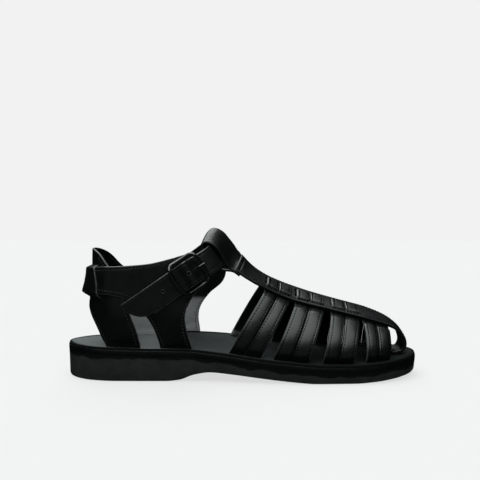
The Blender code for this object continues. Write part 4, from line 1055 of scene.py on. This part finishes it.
def build_counter():
    """Rear legs, back and tab; its lining is suede. Returns the body and its seams."""
    top = COUNTER["h"][-1]
    h = np.concatenate([np.linspace(0, COUNTER_SPLIT, 26), np.linspace(COUNTER_SPLIT, 70, 34)[1:],
                        top - np.array([5.3, 4.4, 3.6, 2.9, 2.2, 1.6, 1.1, 0.7, 0.4, 0.18, 0.05, 0.0])])
    rear, front = col(COUNTER, "rear", h, "h"), col(COUNTER, "front", h, "h")
    split = 25
    marks = [0.0, 0.1, 0.28, 0.55, 0.95, 1.6, Q_SEAM - 0.5, Q_SEAM - 0.22, Q_SEAM,
             Q_SEAM + 0.22, Q_SEAM + 0.5, 4.4]
    leg = columns(front - rear, marks, marks, 6)
    side = rear[:, None] + (front - rear)[:, None] * leg
    wide = leg_extra(h)
    med = rear[:, None] + (front + wide - rear)[:, None] \
        * columns(front + wide - rear, marks, marks, 6)
    mid = rear[:, None] * np.linspace(-1, 1, 9)[None, 1:-1]
    u = np.hstack([-side[:, ::-1], mid, med])
    hh = h[:, None] + 0 * u
    z = counter_z(u, hh, np.maximum(rear, 0.5)[:, None])
    c = leg.shape[1]
    keep = np.ones((len(h) - 1, u.shape[1] - 1), bool)
    keep[:split, c - 1:c + 7] = False
    g = heel_point(u, z)
    n = heel_normal(u, z)
    # outlines in the unrolled sheet
    hs = np.linspace(0, top, 160)
    fr = col(COUNTER, "front", hs, "h")
    fm = fr + leg_extra(hs)
    zc = lambda uu, q: counter_z(uu, q, np.maximum(col(COUNTER, "rear", q, "h"), 0.5))
    tip = np.linspace(-fr[-1], fr[-1], 9)
    edge = np.vstack([np.stack([-fr, zc(-fr, hs)], 1),
                      np.stack([tip, zc(tip, np.full(9, top))], 1),
                      np.stack([fm[::-1], zc(fm[::-1], hs[::-1])], 1)])
    hl = np.linspace(0, COUNTER_SPLIT, 60)
    rl = col(COUNTER, "rear", hl, "h")
    arc_u = np.linspace(-rl[-1], rl[-1], 25)
    arc_z = zc(arc_u, np.full(25, COUNTER_SPLIT))
    gap = np.vstack([np.stack([-rl, zc(-rl, hl)], 1), np.stack([arc_u, arc_z], 1),
                     np.stack([rl[::-1], zc(rl[::-1], hl[::-1])], 1)])
    uz = np.stack([u.ravel(), z.ravel()], 1)
    rim = np.minimum(near_line(uz, edge), near_line(uz, gap)).reshape(u.shape)
    foot = (1.2 * (1 - smoothstep(0.0, 5.5, h)))[:, None, None]
    outer = g + n * ((LEATHER + rounded(rim, 1.0) + groove(rim, Q_SEAM, 0.08))[:, :, None] - foot)
    inner = g - n * (rounded(rim, 1.0)[:, :, None] + foot)
    for q in (outer, inner):
        q[0, :, 2] = footbed_z(q[0, :, 0], q[0, :, 1]) + 0.15
    r, cc = u.shape
    a = lambda i, j: i * cc + j
    b = lambda i, j: r * cc + i * cc + j
    inside = lambda i, j: 0 <= i < r - 1 and 0 <= j < cc - 1 and keep[i, j]
    faces = []
    for i in range(r - 1):
        for j in range(cc - 1):
            if not keep[i, j]:
                continue
            faces.append((a(i, j), a(i, j + 1), a(i + 1, j + 1), a(i + 1, j)))
            faces.append((b(i, j), b(i + 1, j), b(i + 1, j + 1), b(i, j + 1)))
            for di, dj, q0, q1 in ((-1, 0, (i, j), (i, j + 1)), (1, 0, (i + 1, j), (i + 1, j + 1)),
                                   (0, -1, (i, j), (i + 1, j)), (0, 1, (i, j + 1), (i + 1, j + 1))):
                if not inside(i + di, j + dj):
                    faces.append((a(*q0), a(*q1), b(*q1), b(*q0)))
    used = sorted({q for f in faces for q in f})
    index = {q: k for k, q in enumerate(used)}
    lay = np.stack([z, u, 0 * u], 2).reshape(-1, 3)
    body = {"verts": np.vstack([outer.reshape(-1, 3), inner.reshape(-1, 3)])[used],
            "faces": [tuple(index[q] for q in f) for f in faces],
            "rim": np.concatenate([rim.ravel(), rim.ravel()])[used],
            "flesh": np.concatenate([np.zeros(r * cc), np.ones(r * cc)])[used],
            "lay": np.vstack([lay, lay])[used]}
    lines = []
    for sgn in (-1, 1):
        for which, hi in (("front", 71.5), ("rear", 25.0)):
            q = np.linspace(1.0, hi, 160)
            uu = col(COUNTER, which, q, "h")
            if sgn > 0 and which == "front":
                uu = uu + leg_extra(q)
            zz = zc(sgn * uu, q)
            line = np.stack([sgn * uu, zz], 1)
            d = np.gradient(line, axis=0)
            d /= np.linalg.norm(d, axis=1, keepdims=True)
            turn = np.stack([-d[:, 1], d[:, 0]], 1) * (sgn if which == "front" else -sgn)
            line = line + turn * Q_SEAM
            pp, nn = heel_point(line[:, 0], line[:, 1]), heel_normal(line[:, 0], line[:, 1])
            lines.append((pp + nn * (LEATHER - 0.1), nn))
            if sgn > 0 and which == "front":
                lines.append((pp - nn * 0.0, -nn))
    return body, lines


def band_face():
    u, z = band_uz(170, 17)
    z = z + (floor_at(u) - 25.0) * (1 - smoothstep(25, 60, z))
    g, n = heel_point(u, z), heel_normal(u, z)
    near = np.abs(u)
    off = (LEATHER - LAP) * (1 - smoothstep(50, 66, near)) + slack(u, z)
    p = g + n * (off + LEATHER)[:, :, None]
    for r in (0, -1):
        p[r, :, 2] = footbed_z(p[r, :, 0], p[r, :, 1]) + 0.15
    return tucked(Face(p, n))


def keeper_face(side):
    n, m = 60, 11
    f = np.linspace(0, 1, n)
    rear, front = col(KEEPER, "rear", f, "f"), col(KEEPER, "front", f, "f")
    v = np.linspace(0, 1, m)[None, :]
    u = side * (rear[:, None] * (1 - v) + front[:, None] * v)
    z = col(KEEPER, "z", f, "f")[:, None] + 0 * u - (2.0 if side > 0 else 0)
    g, nrm = heel_point(u, z), heel_normal(u, z)
    over = smoothstep(0.0, 0.17, f) * (1 - smoothstep(0.87, 1.0, f))
    rise = 0.3 + (2 * LEATHER - LAP - 1.0 + slack(u, z)) * over[:, None]
    thick = (1.4 + 0.6 * over)[:, None]
    return Face(g + nrm * (rise + thick)[:, :, None], nrm)


# upright folds of the slack band: distance from the back centre, lean, depth
BAND_FOLDS = [(-13.0, 0.08, 0.30), (-6.5, -0.05, 0.45), (3.0, 0.06, 0.35), (10.0, 0.0, 0.25)]


def build_quarter(mats):
    counter, lines = build_counter()
    band = band_face()
    middle = band.length()[-1] / 2

    def relief(da, db, s):
        h = groove(da, Q_SEAM, 0.08) + groove(db, Q_SEAM, 0.08)
        for at, lean, depth in BAND_FOLDS:
            h = h - depth * np.exp(-((s - middle - at - lean * da) / 1.0) ** 2)
        return h

    # the linings' suede fades to black towards the top: painted shade where the band and billet keep
    # light off it
    parts = [lined(counter, 46, 66),
             lined(strip(band, seam_marks(Q_SEAM), seam_marks(Q_SEAM), 9, LEATHER, relief), 50, 72)]
    for side in "ab":
        lines.append(seam(band, side, Q_SEAM, -0.1, (1.5, 1.5)))
    # the medial leg's lining shows its stitches from the outer side
    inner = Face(band.p - band.n * LEATHER, -band.n)
    half = len(inner.p) // 2
    inner = Face(inner.p[half + 20:], inner.n[half + 20:])
    for side in "ab":
        lines.append(seam(inner, side, Q_SEAM, -0.02, (1.5, 1.5)))
    for side in (-1, 1):
        parts.append(lined(strip(keeper_face(side), EDGE, EDGE, 6, 1.7)))
    parts += build_fold()
    piece("quarter", parts, mats["leather"], "upper_quarter")
    return lines


def build_fold():
    c, a, b, n = buckle_axes()
    r0, r1, root = WIRE_R + 0.1, WIRE_R + GAP + FOLD_T, BAR_LIFT - 3.6
    parts = []
    for lo, hi in ((-9.4, -1.9), (1.9, 9.4)):
        line = [(r1 * math.cos(math.radians(k)), BAR_LIFT + r1 * math.sin(math.radians(k)))
                for k in range(0, 181, 6)]
        line = [(r1, root)] + line + [(-r1, root)]
        grid = np.array([[c + a * p + b * w + n * q for w in np.linspace(lo, hi, 7)]
                         for p, q in line])
        face = Face(grid, out=(len(line) // 2, n))
        parts.append(strip(face, EDGE, EDGE, 3, r1 - r0, edge_r=0.5))
    return parts


# ------------------------------------------------------------- billet and buckle
A_SEAM = 2.5              # stitch line from the billet's edges


def build_billet(mats):
    pos, across, nrm, t, s = ankle_path(800)
    far, near = s[0], s[-1]
    rows = np.concatenate([np.linspace(far, -16, 90), np.linspace(-16, 16, 56)[1:],
                           np.linspace(16, near - 4.5, 42)[1:],
                           near - np.array([4.0, 3.5, 3.2, 2.95, 2.75, 2.5, 2.25, 2.0, 1.5, 1.0,
                                            0.6, 0.32, 0.12, 0.0])])
    w0 = BILLET_W
    ws = np.linspace(-1, 1, 29) * w0 / 2
    cols = []
    for w in ws:
        q = (w0 / 2 - w) / w0
        cut = 19.0 * (1 - math.sqrt(max(0.0, 1 - q ** 2.2)))
        sj = np.where(rows > 16, 16 + (rows - 16) * (near - cut - 16) / (near - 16), rows)
        at = lambda f: np.stack([np.interp(sj, s, f[:, c]) for c in range(3)], 1)
        cols.append(at(pos) + w * at(across) + bar_bump(sj)[:, None] * at(nrm))
    g = np.stack(cols, 1)
    k = int(np.argmin(np.abs(rows - 30)))
    face = Face(g, out=(k, nrm[int(np.argmin(np.abs(s - 30)))]))
    length = rows - rows[0]
    face.length = lambda: length

    def relief(da, db, sv):
        h = groove(np.minimum(np.minimum(da, db), length[-1] - sv), A_SEAM, 0.08)
        for at, lean, depth in BILLET_CREASES:
            h = h - depth * np.exp(-((sv - (at - far) - lean * (da - 10)) / 0.5) ** 2) \
                * np.sin(np.pi * np.clip(da / 20, 0, 1)) ** 0.7
        return h

    body = lined(strip(face, seam_marks(A_SEAM), seam_marks(A_SEAM), 8, BILLET_T, relief,
                       ends=(True, True)))
    billet = piece("ankle_billet", [body], mats["leather"], "ankle_strap")
    cutters, rings = [], []
    for sk, r in zip(HOLES["s"], HOLES["radius"]):
        at = lambda f: np.array([np.interp(sk, s, f[:, c]) for c in range(3)])
        c, out = at(pos), at(nrm)
        q = tube([c + out * (bar_bump(sk) + 3.0), c + out * (bar_bump(sk) - 5.5)],
                 r, 18, False, up=at(across))
        mesh = bpy.data.meshes.new("hole")
        mesh.from_pydata([tuple((v - CENTRE) * MM) for v in q["verts"]], [], q["faces"])
        mesh.attributes.new("rim", 'FLOAT', 'POINT').data.foreach_set("value", [9.0] * len(q["verts"]))
        mesh.attributes.new("flesh", 'FLOAT', 'POINT')
        obj = bpy.data.objects.new("hole", mesh)
        bpy.context.scene.collection.objects.link(obj)
        cutters.append(obj)
    for cutter in cutters:
        mod = billet.modifiers.new("hole", 'BOOLEAN')
        mod.operation, mod.solver, mod.object = 'DIFFERENCE', 'EXACT', cutter
    dg = bpy.context.evaluated_depsgraph_get()
    mesh = bpy.data.meshes.new_from_object(billet.evaluated_get(dg))
    billet.modifiers.clear()
    billet.data = mesh
    mesh.name = "ankle_billet"
    for cutter in cutters:
        bpy.data.objects.remove(cutter)
    for sk, r in zip(HOLES["s"][2:], HOLES["radius"][2:]):
        ring = [sk + 1.25 * r * math.cos(k * math.pi / 12) for k in range(24)], \
               [1.25 * r * math.sin(k * math.pi / 12) for k in range(24)]
        at = lambda q, f: np.array([np.interp(q, s, f[:, c]) for c in range(3)])
        loop = [at(q, pos) + w * at(q, across) + (bar_bump(q) + 0.02) * at(q, nrm)
                for q, w in zip(*ring)]
        rings.append(tube(loop, 0.24, 8, True, up=at(sk, nrm)))
        # the rings take part of the grey cut-edge tone: partly wear, partly painted highlight
        rings[-1]["rim"][:] = 0.42
    piece("hole_rims", rings, mats["leather"])
    lines = [seam(face, "a", A_SEAM, -0.1, (1.0, 3.2)), seam(face, "b", A_SEAM, -0.1, (1.0, 3.2))]
    # round the tip, at the same distance from its end
    i = int(np.argmin(np.abs(rows - (near - A_SEAM))))
    v = np.tile(np.linspace(3.4, w0 - 3.4, 40) / w0, (len(rows), 1))
    p, n = face.at(v)
    lines.append((p[i] - n[i] * 0.1, n[i]))
    return lines


# creases of the billet: distance from the bar, lean, depth
BILLET_CREASES = [(33.0, -0.55, 0.16), (37.5, -0.6, 0.12), (18.0, 0.25, 0.10)]


def build_buckle(mats):
    c, a, b, n = buckle_axes()
    lift_end = GAP + WIRE_R + 0.55
    ha, hb = BUCKLE_ALONG / 2 - WIRE_R, BUCKLE_ACROSS / 2 - WIRE_R
    corner, bow = 4.6, 0.9
    pts = []
    for qx, qy, a0 in ((1, 1, 0), (-1, 1, 90), (-1, -1, 180), (1, -1, 270)):
        for k in range(10):
            ang = math.radians(a0 + 90 * k / 9)
            pts.append((qx * (ha - corner) + corner * math.cos(ang),
                        qy * (hb - corner) + corner * math.sin(ang)))
        for k in range(1, 12):
            f = k / 12 * 2 - 1
            if qx == qy:
                pts.append((-qy * f * (ha - corner), qy * hb))
            else:
                pts.append((qx * (ha + bow * (1 - f * f)), qx * f * (hb - corner)))
    path = []
    for p, q in pts:
        lift = BAR_LIFT + (lift_end - BAR_LIFT) * min(1.0, abs(p) / ha) ** 2
        path.append(c + a * p + b * (q + BUCKLE_DROP) + n * lift)
    frame_wire = tube(path, WIRE_R * 1.36, 24, True, up=n, flat=0.68)
    bar = tube([c + n * BAR_LIFT + b * (q + BUCKLE_DROP) for q in np.linspace(-hb, hb, 9)],
               WIRE_R * 0.9, 14, False, up=n)
    piece("buckle", [frame_wire, bar], mats["metal"], "buckle_frame", 60)
    ha += 0.9
    r = 0.8
    over = lift_end + WIRE_R + GAP + r
    line = curve([(WIRE_R + GAP + r, BAR_LIFT - 0.3), (4.4, BAR_LIFT - 0.9),
                  (6.2, BAR_LIFT - 0.6), (7.5, BAR_LIFT + 0.7), (8.2, 1.3), (8.9, over - 0.9),
                  (ha - 0.8, over), (ha + 0.8, over + 0.1), (ha + 1.8, over - 0.1)], 60)
    path = [c + a * p + n * q for p, q in line]
    taper = r * np.concatenate([np.ones(50), np.sqrt(np.linspace(1, 0.12, 10))])
    prong = tube(path, taper, 14, False, up=b)
    piece("prong", [prong], mats["metal"], "buckle_prong", 60)


# ------------------------------------------------------------------- materials
class Shader:
    """A Principled material and short names for the nodes that feed it."""

    def __init__(self, name, rough, specular=0.5, **fixed):
        self.mat = bpy.data.materials.new(name)
        self.mat.use_nodes = True
        self.t = self.mat.node_tree
        self.out = self.t.nodes["Principled BSDF"]
        self.out.inputs["Roughness"].default_value = rough
        self.out.inputs["Specular IOR Level"].default_value = specular
        for key, value in fixed.items():
            self.out.inputs[key.replace("_", " ")].default_value = value
        self.where = self.new("ShaderNodeTexCoord").outputs["Object"]

    def new(self, kind, **props):
        n = self.t.nodes.new(kind)
        for k, v in props.items():
            setattr(n, k, v)
        return n

    def put(self, socket, value):
        if isinstance(value, bpy.types.NodeSocket):
            self.t.links.new(value, socket)
        elif isinstance(value, (tuple, list)) and len(value) == 3 and len(
                getattr(socket, "default_value", (0, 0, 0))) == 4:
            socket.default_value = (*value, 1.0)
        else:
            socket.default_value = value

    def attr(self, name, vector=False):
        n = self.new("ShaderNodeAttribute", attribute_name=name)
        return n.outputs["Vector" if vector else "Fac"]

    def stretch(self, vec, scale):
        n = self.new("ShaderNodeMapping")
        self.put(n.inputs["Vector"], vec)
        n.inputs["Scale"].default_value = scale
        return n.outputs["Vector"]

    def split(self, vec):
        n = self.new("ShaderNodeSeparateXYZ")
        self.put(n.inputs[0], vec)
        return n.outputs

    def noise(self, size_mm, detail=3.0, rough=0.5, vec=None, distortion=0.0):
        """Noise whose features are about size_mm wide, from 0 to 1."""
        n = self.new("ShaderNodeTexNoise")
        self.put(n.inputs["Vector"], self.where if vec is None else vec)
        n.inputs["Scale"].default_value = 1000.0 / size_mm if vec is None else 1.0 / size_mm
        n.inputs["Detail"].default_value = detail
        n.inputs["Roughness"].default_value = rough
        n.inputs["Distortion"].default_value = distortion
        return n.outputs["Fac"]

    def cells(self, size_mm, feature='F1', vec=None):
        n = self.new("ShaderNodeTexVoronoi", feature=feature)
        self.put(n.inputs["Vector"], self.where if vec is None else vec)
        n.inputs["Scale"].default_value = 1000.0 / size_mm if vec is None else 1.0 / size_mm
        return n.outputs["Distance"]

    def ramp(self, fac, *stops):
        """Piecewise map; stops are (place, value) or (place, (r, g, b))."""
        n = self.new("ShaderNodeValToRGB")
        els = n.color_ramp.elements
        while len(els) < len(stops):
            els.new(0.5)
        for e, (at, value) in zip(els, stops):
            e.position = at
            rgb = (value,) * 3 if isinstance(value, (int, float)) else value
            e.color = (*rgb, 1.0)
        self.put(n.inputs["Fac"], fac)
        return n.outputs["Color"]

    def span(self, value, a, b, lo=0.0, hi=1.0):
        n = self.new("ShaderNodeMapRange", interpolation_type='SMOOTHSTEP')
        self.put(n.inputs["Value"], value)
        for key, v in (("From Min", a), ("From Max", b), ("To Min", lo), ("To Max", hi)):
            n.inputs[key].default_value = v
        return n.outputs["Result"]

    def math(self, op, a, b=0.0, c=0.0):
        n = self.new("ShaderNodeMath", operation=op)
        for i, v in enumerate((a, b, c)):
            self.put(n.inputs[i], v)
        return n.outputs[0]

    def mix(self, fac, a, b):
        n = self.new("ShaderNodeMix", data_type='RGBA')
        self.put(n.inputs["Factor"], fac)
        self.put([s for s in n.inputs if s.name == "A" and s.type == 'RGBA'][0], a)
        self.put([s for s in n.inputs if s.name == "B" and s.type == 'RGBA'][0], b)
        return [s for s in n.outputs if s.type == 'RGBA'][0]

    def bump(self, *layers):
        """Stacked bumps: (height, strength, depth in mm)."""
        last = None
        for height, strength, depth in layers:
            n = self.new("ShaderNodeBump")
            n.inputs["Strength"].default_value = strength
            n.inputs["Distance"].default_value = depth * MM
            self.put(n.inputs["Height"], height)
            if last is not None:
                self.put(n.inputs["Normal"], last)
            last = n.outputs["Normal"]
        self.put(self.out.inputs["Normal"], last)

    def base(self, color):
        self.put(self.out.inputs["Base Color"], color)

    def rough(self, value):
        self.put(self.out.inputs["Roughness"], value)


def leather():
    """Smooth black hide; 'rim' is mm from a cut edge, 'flesh' is 1 on the suede side."""
    s = Shader("black_leather", 0.42, specular=0.5)
    rim, flesh = s.attr("rim"), s.attr("flesh")
    tone = s.noise(14, 3, 0.55)
    skin = s.ramp(tone, (0.3, (0.0006, 0.0015, 0.0013)), (0.7, (0.0013, 0.0026, 0.0023)))
    # the cut edge's outer corner is greyer, and unevenly so: partly worn edge, partly a painted
    # highlight where the corner catches the light
    worn = s.noise(2.2, 3, 0.65)
    cut = s.ramp(worn, (0.35, (0.022, 0.025, 0.025)), (0.68, (0.075, 0.081, 0.081)))
    edge = s.span(rim, 0.62, 0.14)
    top = s.mix(s.math('MULTIPLY', edge, 0.8), skin, cut)
    nap = s.noise(1.1, 4, 0.7)
    patch = s.noise(9.0, 3, 0.6)
    suede = s.mix(patch, s.ramp(nap, (0.3, (0.150, 0.157, 0.158)), (0.7, (0.230, 0.238, 0.239))),
                  s.ramp(nap, (0.3, (0.200, 0.208, 0.209)), (0.7, (0.300, 0.310, 0.311))))
    side = s.span(flesh, 0.55, 0.8)
    s.base(s.mix(side, top, suede))
    gloss = s.math('MULTIPLY_ADD', s.noise(5.0, 4, 0.6), 0.14, 0.275)
    gloss = s.math('MULTIPLY_ADD', edge, 0.10, gloss)
    rough = s.new("ShaderNodeMix", data_type='FLOAT')
    s.put(rough.inputs["Factor"], side)
    s.put(rough.inputs["A"], gloss)
    s.put(rough.inputs["B"], 0.95)
    s.rough(rough.outputs[0])
    grain = s.cells(0.62, 'SMOOTH_F1')
    fine = s.noise(0.35, 2, 0.5)
    soft = s.noise(7.0, 2, 0.5)
    s.bump((soft, 0.35, 0.5), (grain, 0.16, 0.12), (fine, 0.12, 0.08))
    return s.mat


def footbed():
    s = Shader("footbed_suede", 0.95, specular=0.04)
    nap = s.noise(1.3, 4, 0.7)
    patch = s.noise(16.0, 3, 0.6)
    tone = s.mix(patch, s.ramp(nap, (0.3, (0.028, 0.031, 0.031)), (0.7, (0.040, 0.044, 0.044))),
                 s.ramp(nap, (0.3, (0.036, 0.040, 0.040)), (0.7, (0.052, 0.057, 0.057))))
    rim = s.attr("rim")
    # painted light: the suede is paler towards the heel, where the back light falls in through the open
    # heel
    heel = s.span(s.split(s.where)[0], -0.040, -0.078)
    pale = s.ramp(nap, (0.3, (0.110, 0.116, 0.117)), (0.7, (0.165, 0.172, 0.173)))
    tone = s.mix(s.math('MULTIPLY', heel, 0.8), tone, pale)
    # painted shade: the suede goes near black from the middle towards the toe, where the cross straps
    # shade it
    front = s.span(s.split(s.where)[0], 0.005, 0.050)
    tone = s.mix(s.math('MULTIPLY', front, 0.75), tone, (0.0060, 0.0072, 0.0070))
    # the suede goes darker within a few mm of the rim, with a thin lighter line at the rim and black at
    # the very edge
    near_rim_dark = s.span(rim, 5.5, 2.0)
    tone = s.mix(s.math('MULTIPLY', near_rim_dark, 0.85), tone, (0.0050, 0.0062, 0.0060))
    tone = s.mix(s.span(rim, 1.1, 0.6), tone, (0.014, 0.016, 0.016))
    s.base(s.mix(s.span(rim, 0.45, 0.1), tone, (0.0025, 0.0036, 0.0034)))
    s.bump((patch, 0.2, 0.3), (nap, 0.4, 0.15), (s.noise(0.4, 2, 0.6), 0.3, 0.1))
    return s.mat


def paint():
    """Black edge dressing, brushed along the board's edge."""
    s = Shader("edge_dressing", 0.3, specular=0.35)
    along = s.stretch(s.where, (90.0, 90.0, 700.0))
    brush = s.noise(1.0, 4, 0.6, vec=along)
    s.base(s.ramp(brush, (0.3, (0.0006, 0.0014, 0.0012)), (0.75, (0.0020, 0.0032, 0.0030))))
    s.rough(s.math('MULTIPLY_ADD', s.noise(6.0, 4, 0.6), 0.2, 0.20))
    s.bump((brush, 0.25, 0.2), (s.noise(0.7, 3, 0.6), 0.15, 0.1))
    return s.mat


def rubber():
    """Moulded charcoal rubber; 'lay' z is mm below its top edge, where dressing has run."""
    s = Shader("charcoal_rubber", 0.6, specular=0.3)
    down = s.split(s.attr("lay", True))[2]
    cloud = s.noise(11.0, 5, 0.62, distortion=0.6)
    speck = s.noise(1.0, 3, 0.7)
    body = s.mix(s.ramp(speck, (0.35, 0.0), (0.75, 1.0)),
                 s.ramp(cloud, (0.32, (0.0060, 0.0078, 0.0074)), (0.68, (0.0115, 0.0140, 0.0134))),
                 s.ramp(cloud, (0.32, (0.0085, 0.0105, 0.0100)), (0.68, (0.0155, 0.0182, 0.0176))))
    wave = s.noise(1.0, 3, 0.6, vec=s.stretch(s.where, (42.0, 42.0, 8.0)))
    reach = s.math('MULTIPLY_ADD', wave, 9.0, -2.4)
    run = s.span(s.math('SUBTRACT', down, reach), 0.9, -0.3)
    s.base(s.mix(s.math('MULTIPLY', run, 0.92), body, (0.0008, 0.0018, 0.0016)))
    s.rough(s.math('MULTIPLY_ADD', run, -0.18, s.math('MULTIPLY_ADD', cloud, 0.2, 0.5)))
    lines = s.noise(1.0, 2, 0.5, vec=s.stretch(s.where, (30.0, 30.0, 1500.0)))
    s.bump((cloud, 0.3, 0.4), (speck, 0.25, 0.15), (lines, 0.12, 0.08))
    return s.mat


def metal():
    s = Shader("black_enamel", 0.2, specular=0.8)
    wear = s.noise(3.0, 4, 0.65)
    s.base(s.ramp(wear, (0.35, (0.0010, 0.0018, 0.0016)), (0.75, (0.0030, 0.0042, 0.0040))))
    s.rough(s.math('MULTIPLY_ADD', s.noise(1.6, 3, 0.6), 0.14, 0.12))
    s.bump((s.noise(0.8, 2, 0.5), 0.12, 0.08))
    return s.mat


def cotton(name="waxed_thread", pale=1.0, shine=0.1):
    s = Shader(name, 0.8, specular=shine)
    fibre = s.noise(0.25, 3, 0.7)
    s.base(s.ramp(fibre, (0.3, (0.0060 * pale, 0.0070 * pale, 0.0070 * pale)),
                  (0.7, (0.0180 * pale, 0.0196 * pale, 0.0194 * pale))))
    s.bump((fibre, 0.4, 0.08))
    return s.mat


# ------------------------------------------------------------------- the studio
def studio():
    bpy.ops.mesh.primitive_plane_add(size=10.0, location=(0, 0, -0.0002))
    floor = bpy.context.object
    floor.name = "studio_floor"
    mat = Shader("pale_floor", 0.9, specular=0.0, Emission_Strength=FLOOR_GLOW)
    mat.base(mat.ramp(mat.noise(400, 2), (0.0, FLOOR_TONE), (1.0, FLOOR_TONE)))
    mat.out.inputs["Emission Color"].default_value = (1, 1, 1, 1)
    floor.data.materials.append(mat.mat)
    floor.visible_glossy = False
    bpy.ops.mesh.primitive_uv_sphere_add(radius=7.0, segments=48, ring_count=24)
    dome = bpy.context.object
    dome.name = "studio_backdrop"
    glow = bpy.data.materials.new("backdrop_white")
    glow.use_nodes = True
    glow.node_tree.nodes.clear()
    e = glow.node_tree.nodes.new("ShaderNodeEmission")
    e.inputs["Color"].default_value = (0.888, 0.888, 0.888, 1)
    e.inputs["Strength"].default_value = 1.0
    o = glow.node_tree.nodes.new("ShaderNodeOutputMaterial")
    glow.node_tree.links.new(e.outputs[0], o.inputs["Surface"])
    dome.data.materials.append(glow)
    for flag in ("visible_diffuse", "visible_glossy", "visible_transmission",
                 "visible_shadow", "visible_volume_scatter"):
        setattr(dome, flag, False)

    world = bpy.data.worlds.new("studio_world")
    bpy.context.scene.world = world
    world.use_nodes = True
    world.node_tree.nodes["Background"].inputs["Color"].default_value = (0.9, 1.0, 1.0, 1)
    world.node_tree.nodes["Background"].inputs["Strength"].default_value = AMBIENT

    for name, angle, strength, aim in SUNS:
        light = bpy.data.lights.new(name, 'SUN')
        light.energy = strength
        light.color = (0.93, 1.0, 0.985)
        light.angle = math.radians(angle)
        obj = bpy.data.objects.new(name, light)
        obj.rotation_euler = (-Vector(aim)).to_track_quat('-Z', 'Y').to_euler()
        bpy.context.scene.collection.objects.link(obj)
    for name, size, power, place, target in CARDS:
        light = bpy.data.lights.new(name, 'AREA')
        light.shape = 'RECTANGLE'
        light.size, light.size_y = size
        light.energy = power
        obj = bpy.data.objects.new(name, light)
        obj.location = place
        obj.visible_camera = False
        obj.rotation_euler = (Vector(target) - Vector(place)).to_track_quat('-Z', 'Y').to_euler()
        bpy.context.scene.collection.objects.link(obj)

    cam = bpy.data.objects.new("camera", bpy.data.cameras.new("camera"))
    bpy.context.scene.collection.objects.link(cam)
    cam.data.sensor_width = 36.0
    cam.data.lens = 48.96
    cam.data.shift_y = -0.025
    cam.data.clip_start, cam.data.clip_end = 0.05, 50.0
    cam.location = (np.array((0.0, -540.0, 119.05)) - CENTRE) * MM
    cam.rotation_euler = (math.pi / 2, 0, 0)
    bpy.context.scene.camera = cam
    bpy.context.scene.view_settings.view_transform = 'Standard'
    bpy.context.scene.view_settings.look = 'None'


FLOOR_TONE = 0.16
FLOOR_GLOW = 0.668
AMBIENT = 0.004
# soft overhead light: name, angular size, strength, direction it comes from
SUNS = [("overhead", 76.0, 3.4, (-0.16, -0.30, 1.0)),
        ("behind", 46.0, 1.7, (-0.20, 1.0, 1.45))]
# softboxes: name, (width, height) m, watts, place, target
CARDS = [("low_front", (1.2, 0.10), 0.07, (0.0, -0.50, 0.01), (0.0, 0.0, 0.04))]


def main():
    mats = {"leather": leather(), "footbed": footbed(), "paint": paint(), "rubber": rubber(),
            "metal": metal(), "thread": cotton(),
            "black_thread": cotton("black_thread", 0.12, 0.0),
            "worn_thread": cotton("worn_thread", 2.2, 0.1)}
    build_sole(mats)
    lines = build_tstrap(mats)
    build_loop(mats)
    vamp = build_cross_straps(mats)
    quarter = build_quarter(mats)
    billet = build_billet(mats)
    build_buckle(mats)
    piece("vamp_stitching", [thread(lines, thick=1.15), thread(vamp, thick=1.25)],
          mats["black_thread"])
    piece("quarter_stitching", [thread(quarter, thick=1.1)], mats["worn_thread"])
    piece("billet_stitching", [thread(billet)], mats["thread"])
    studio()


main()
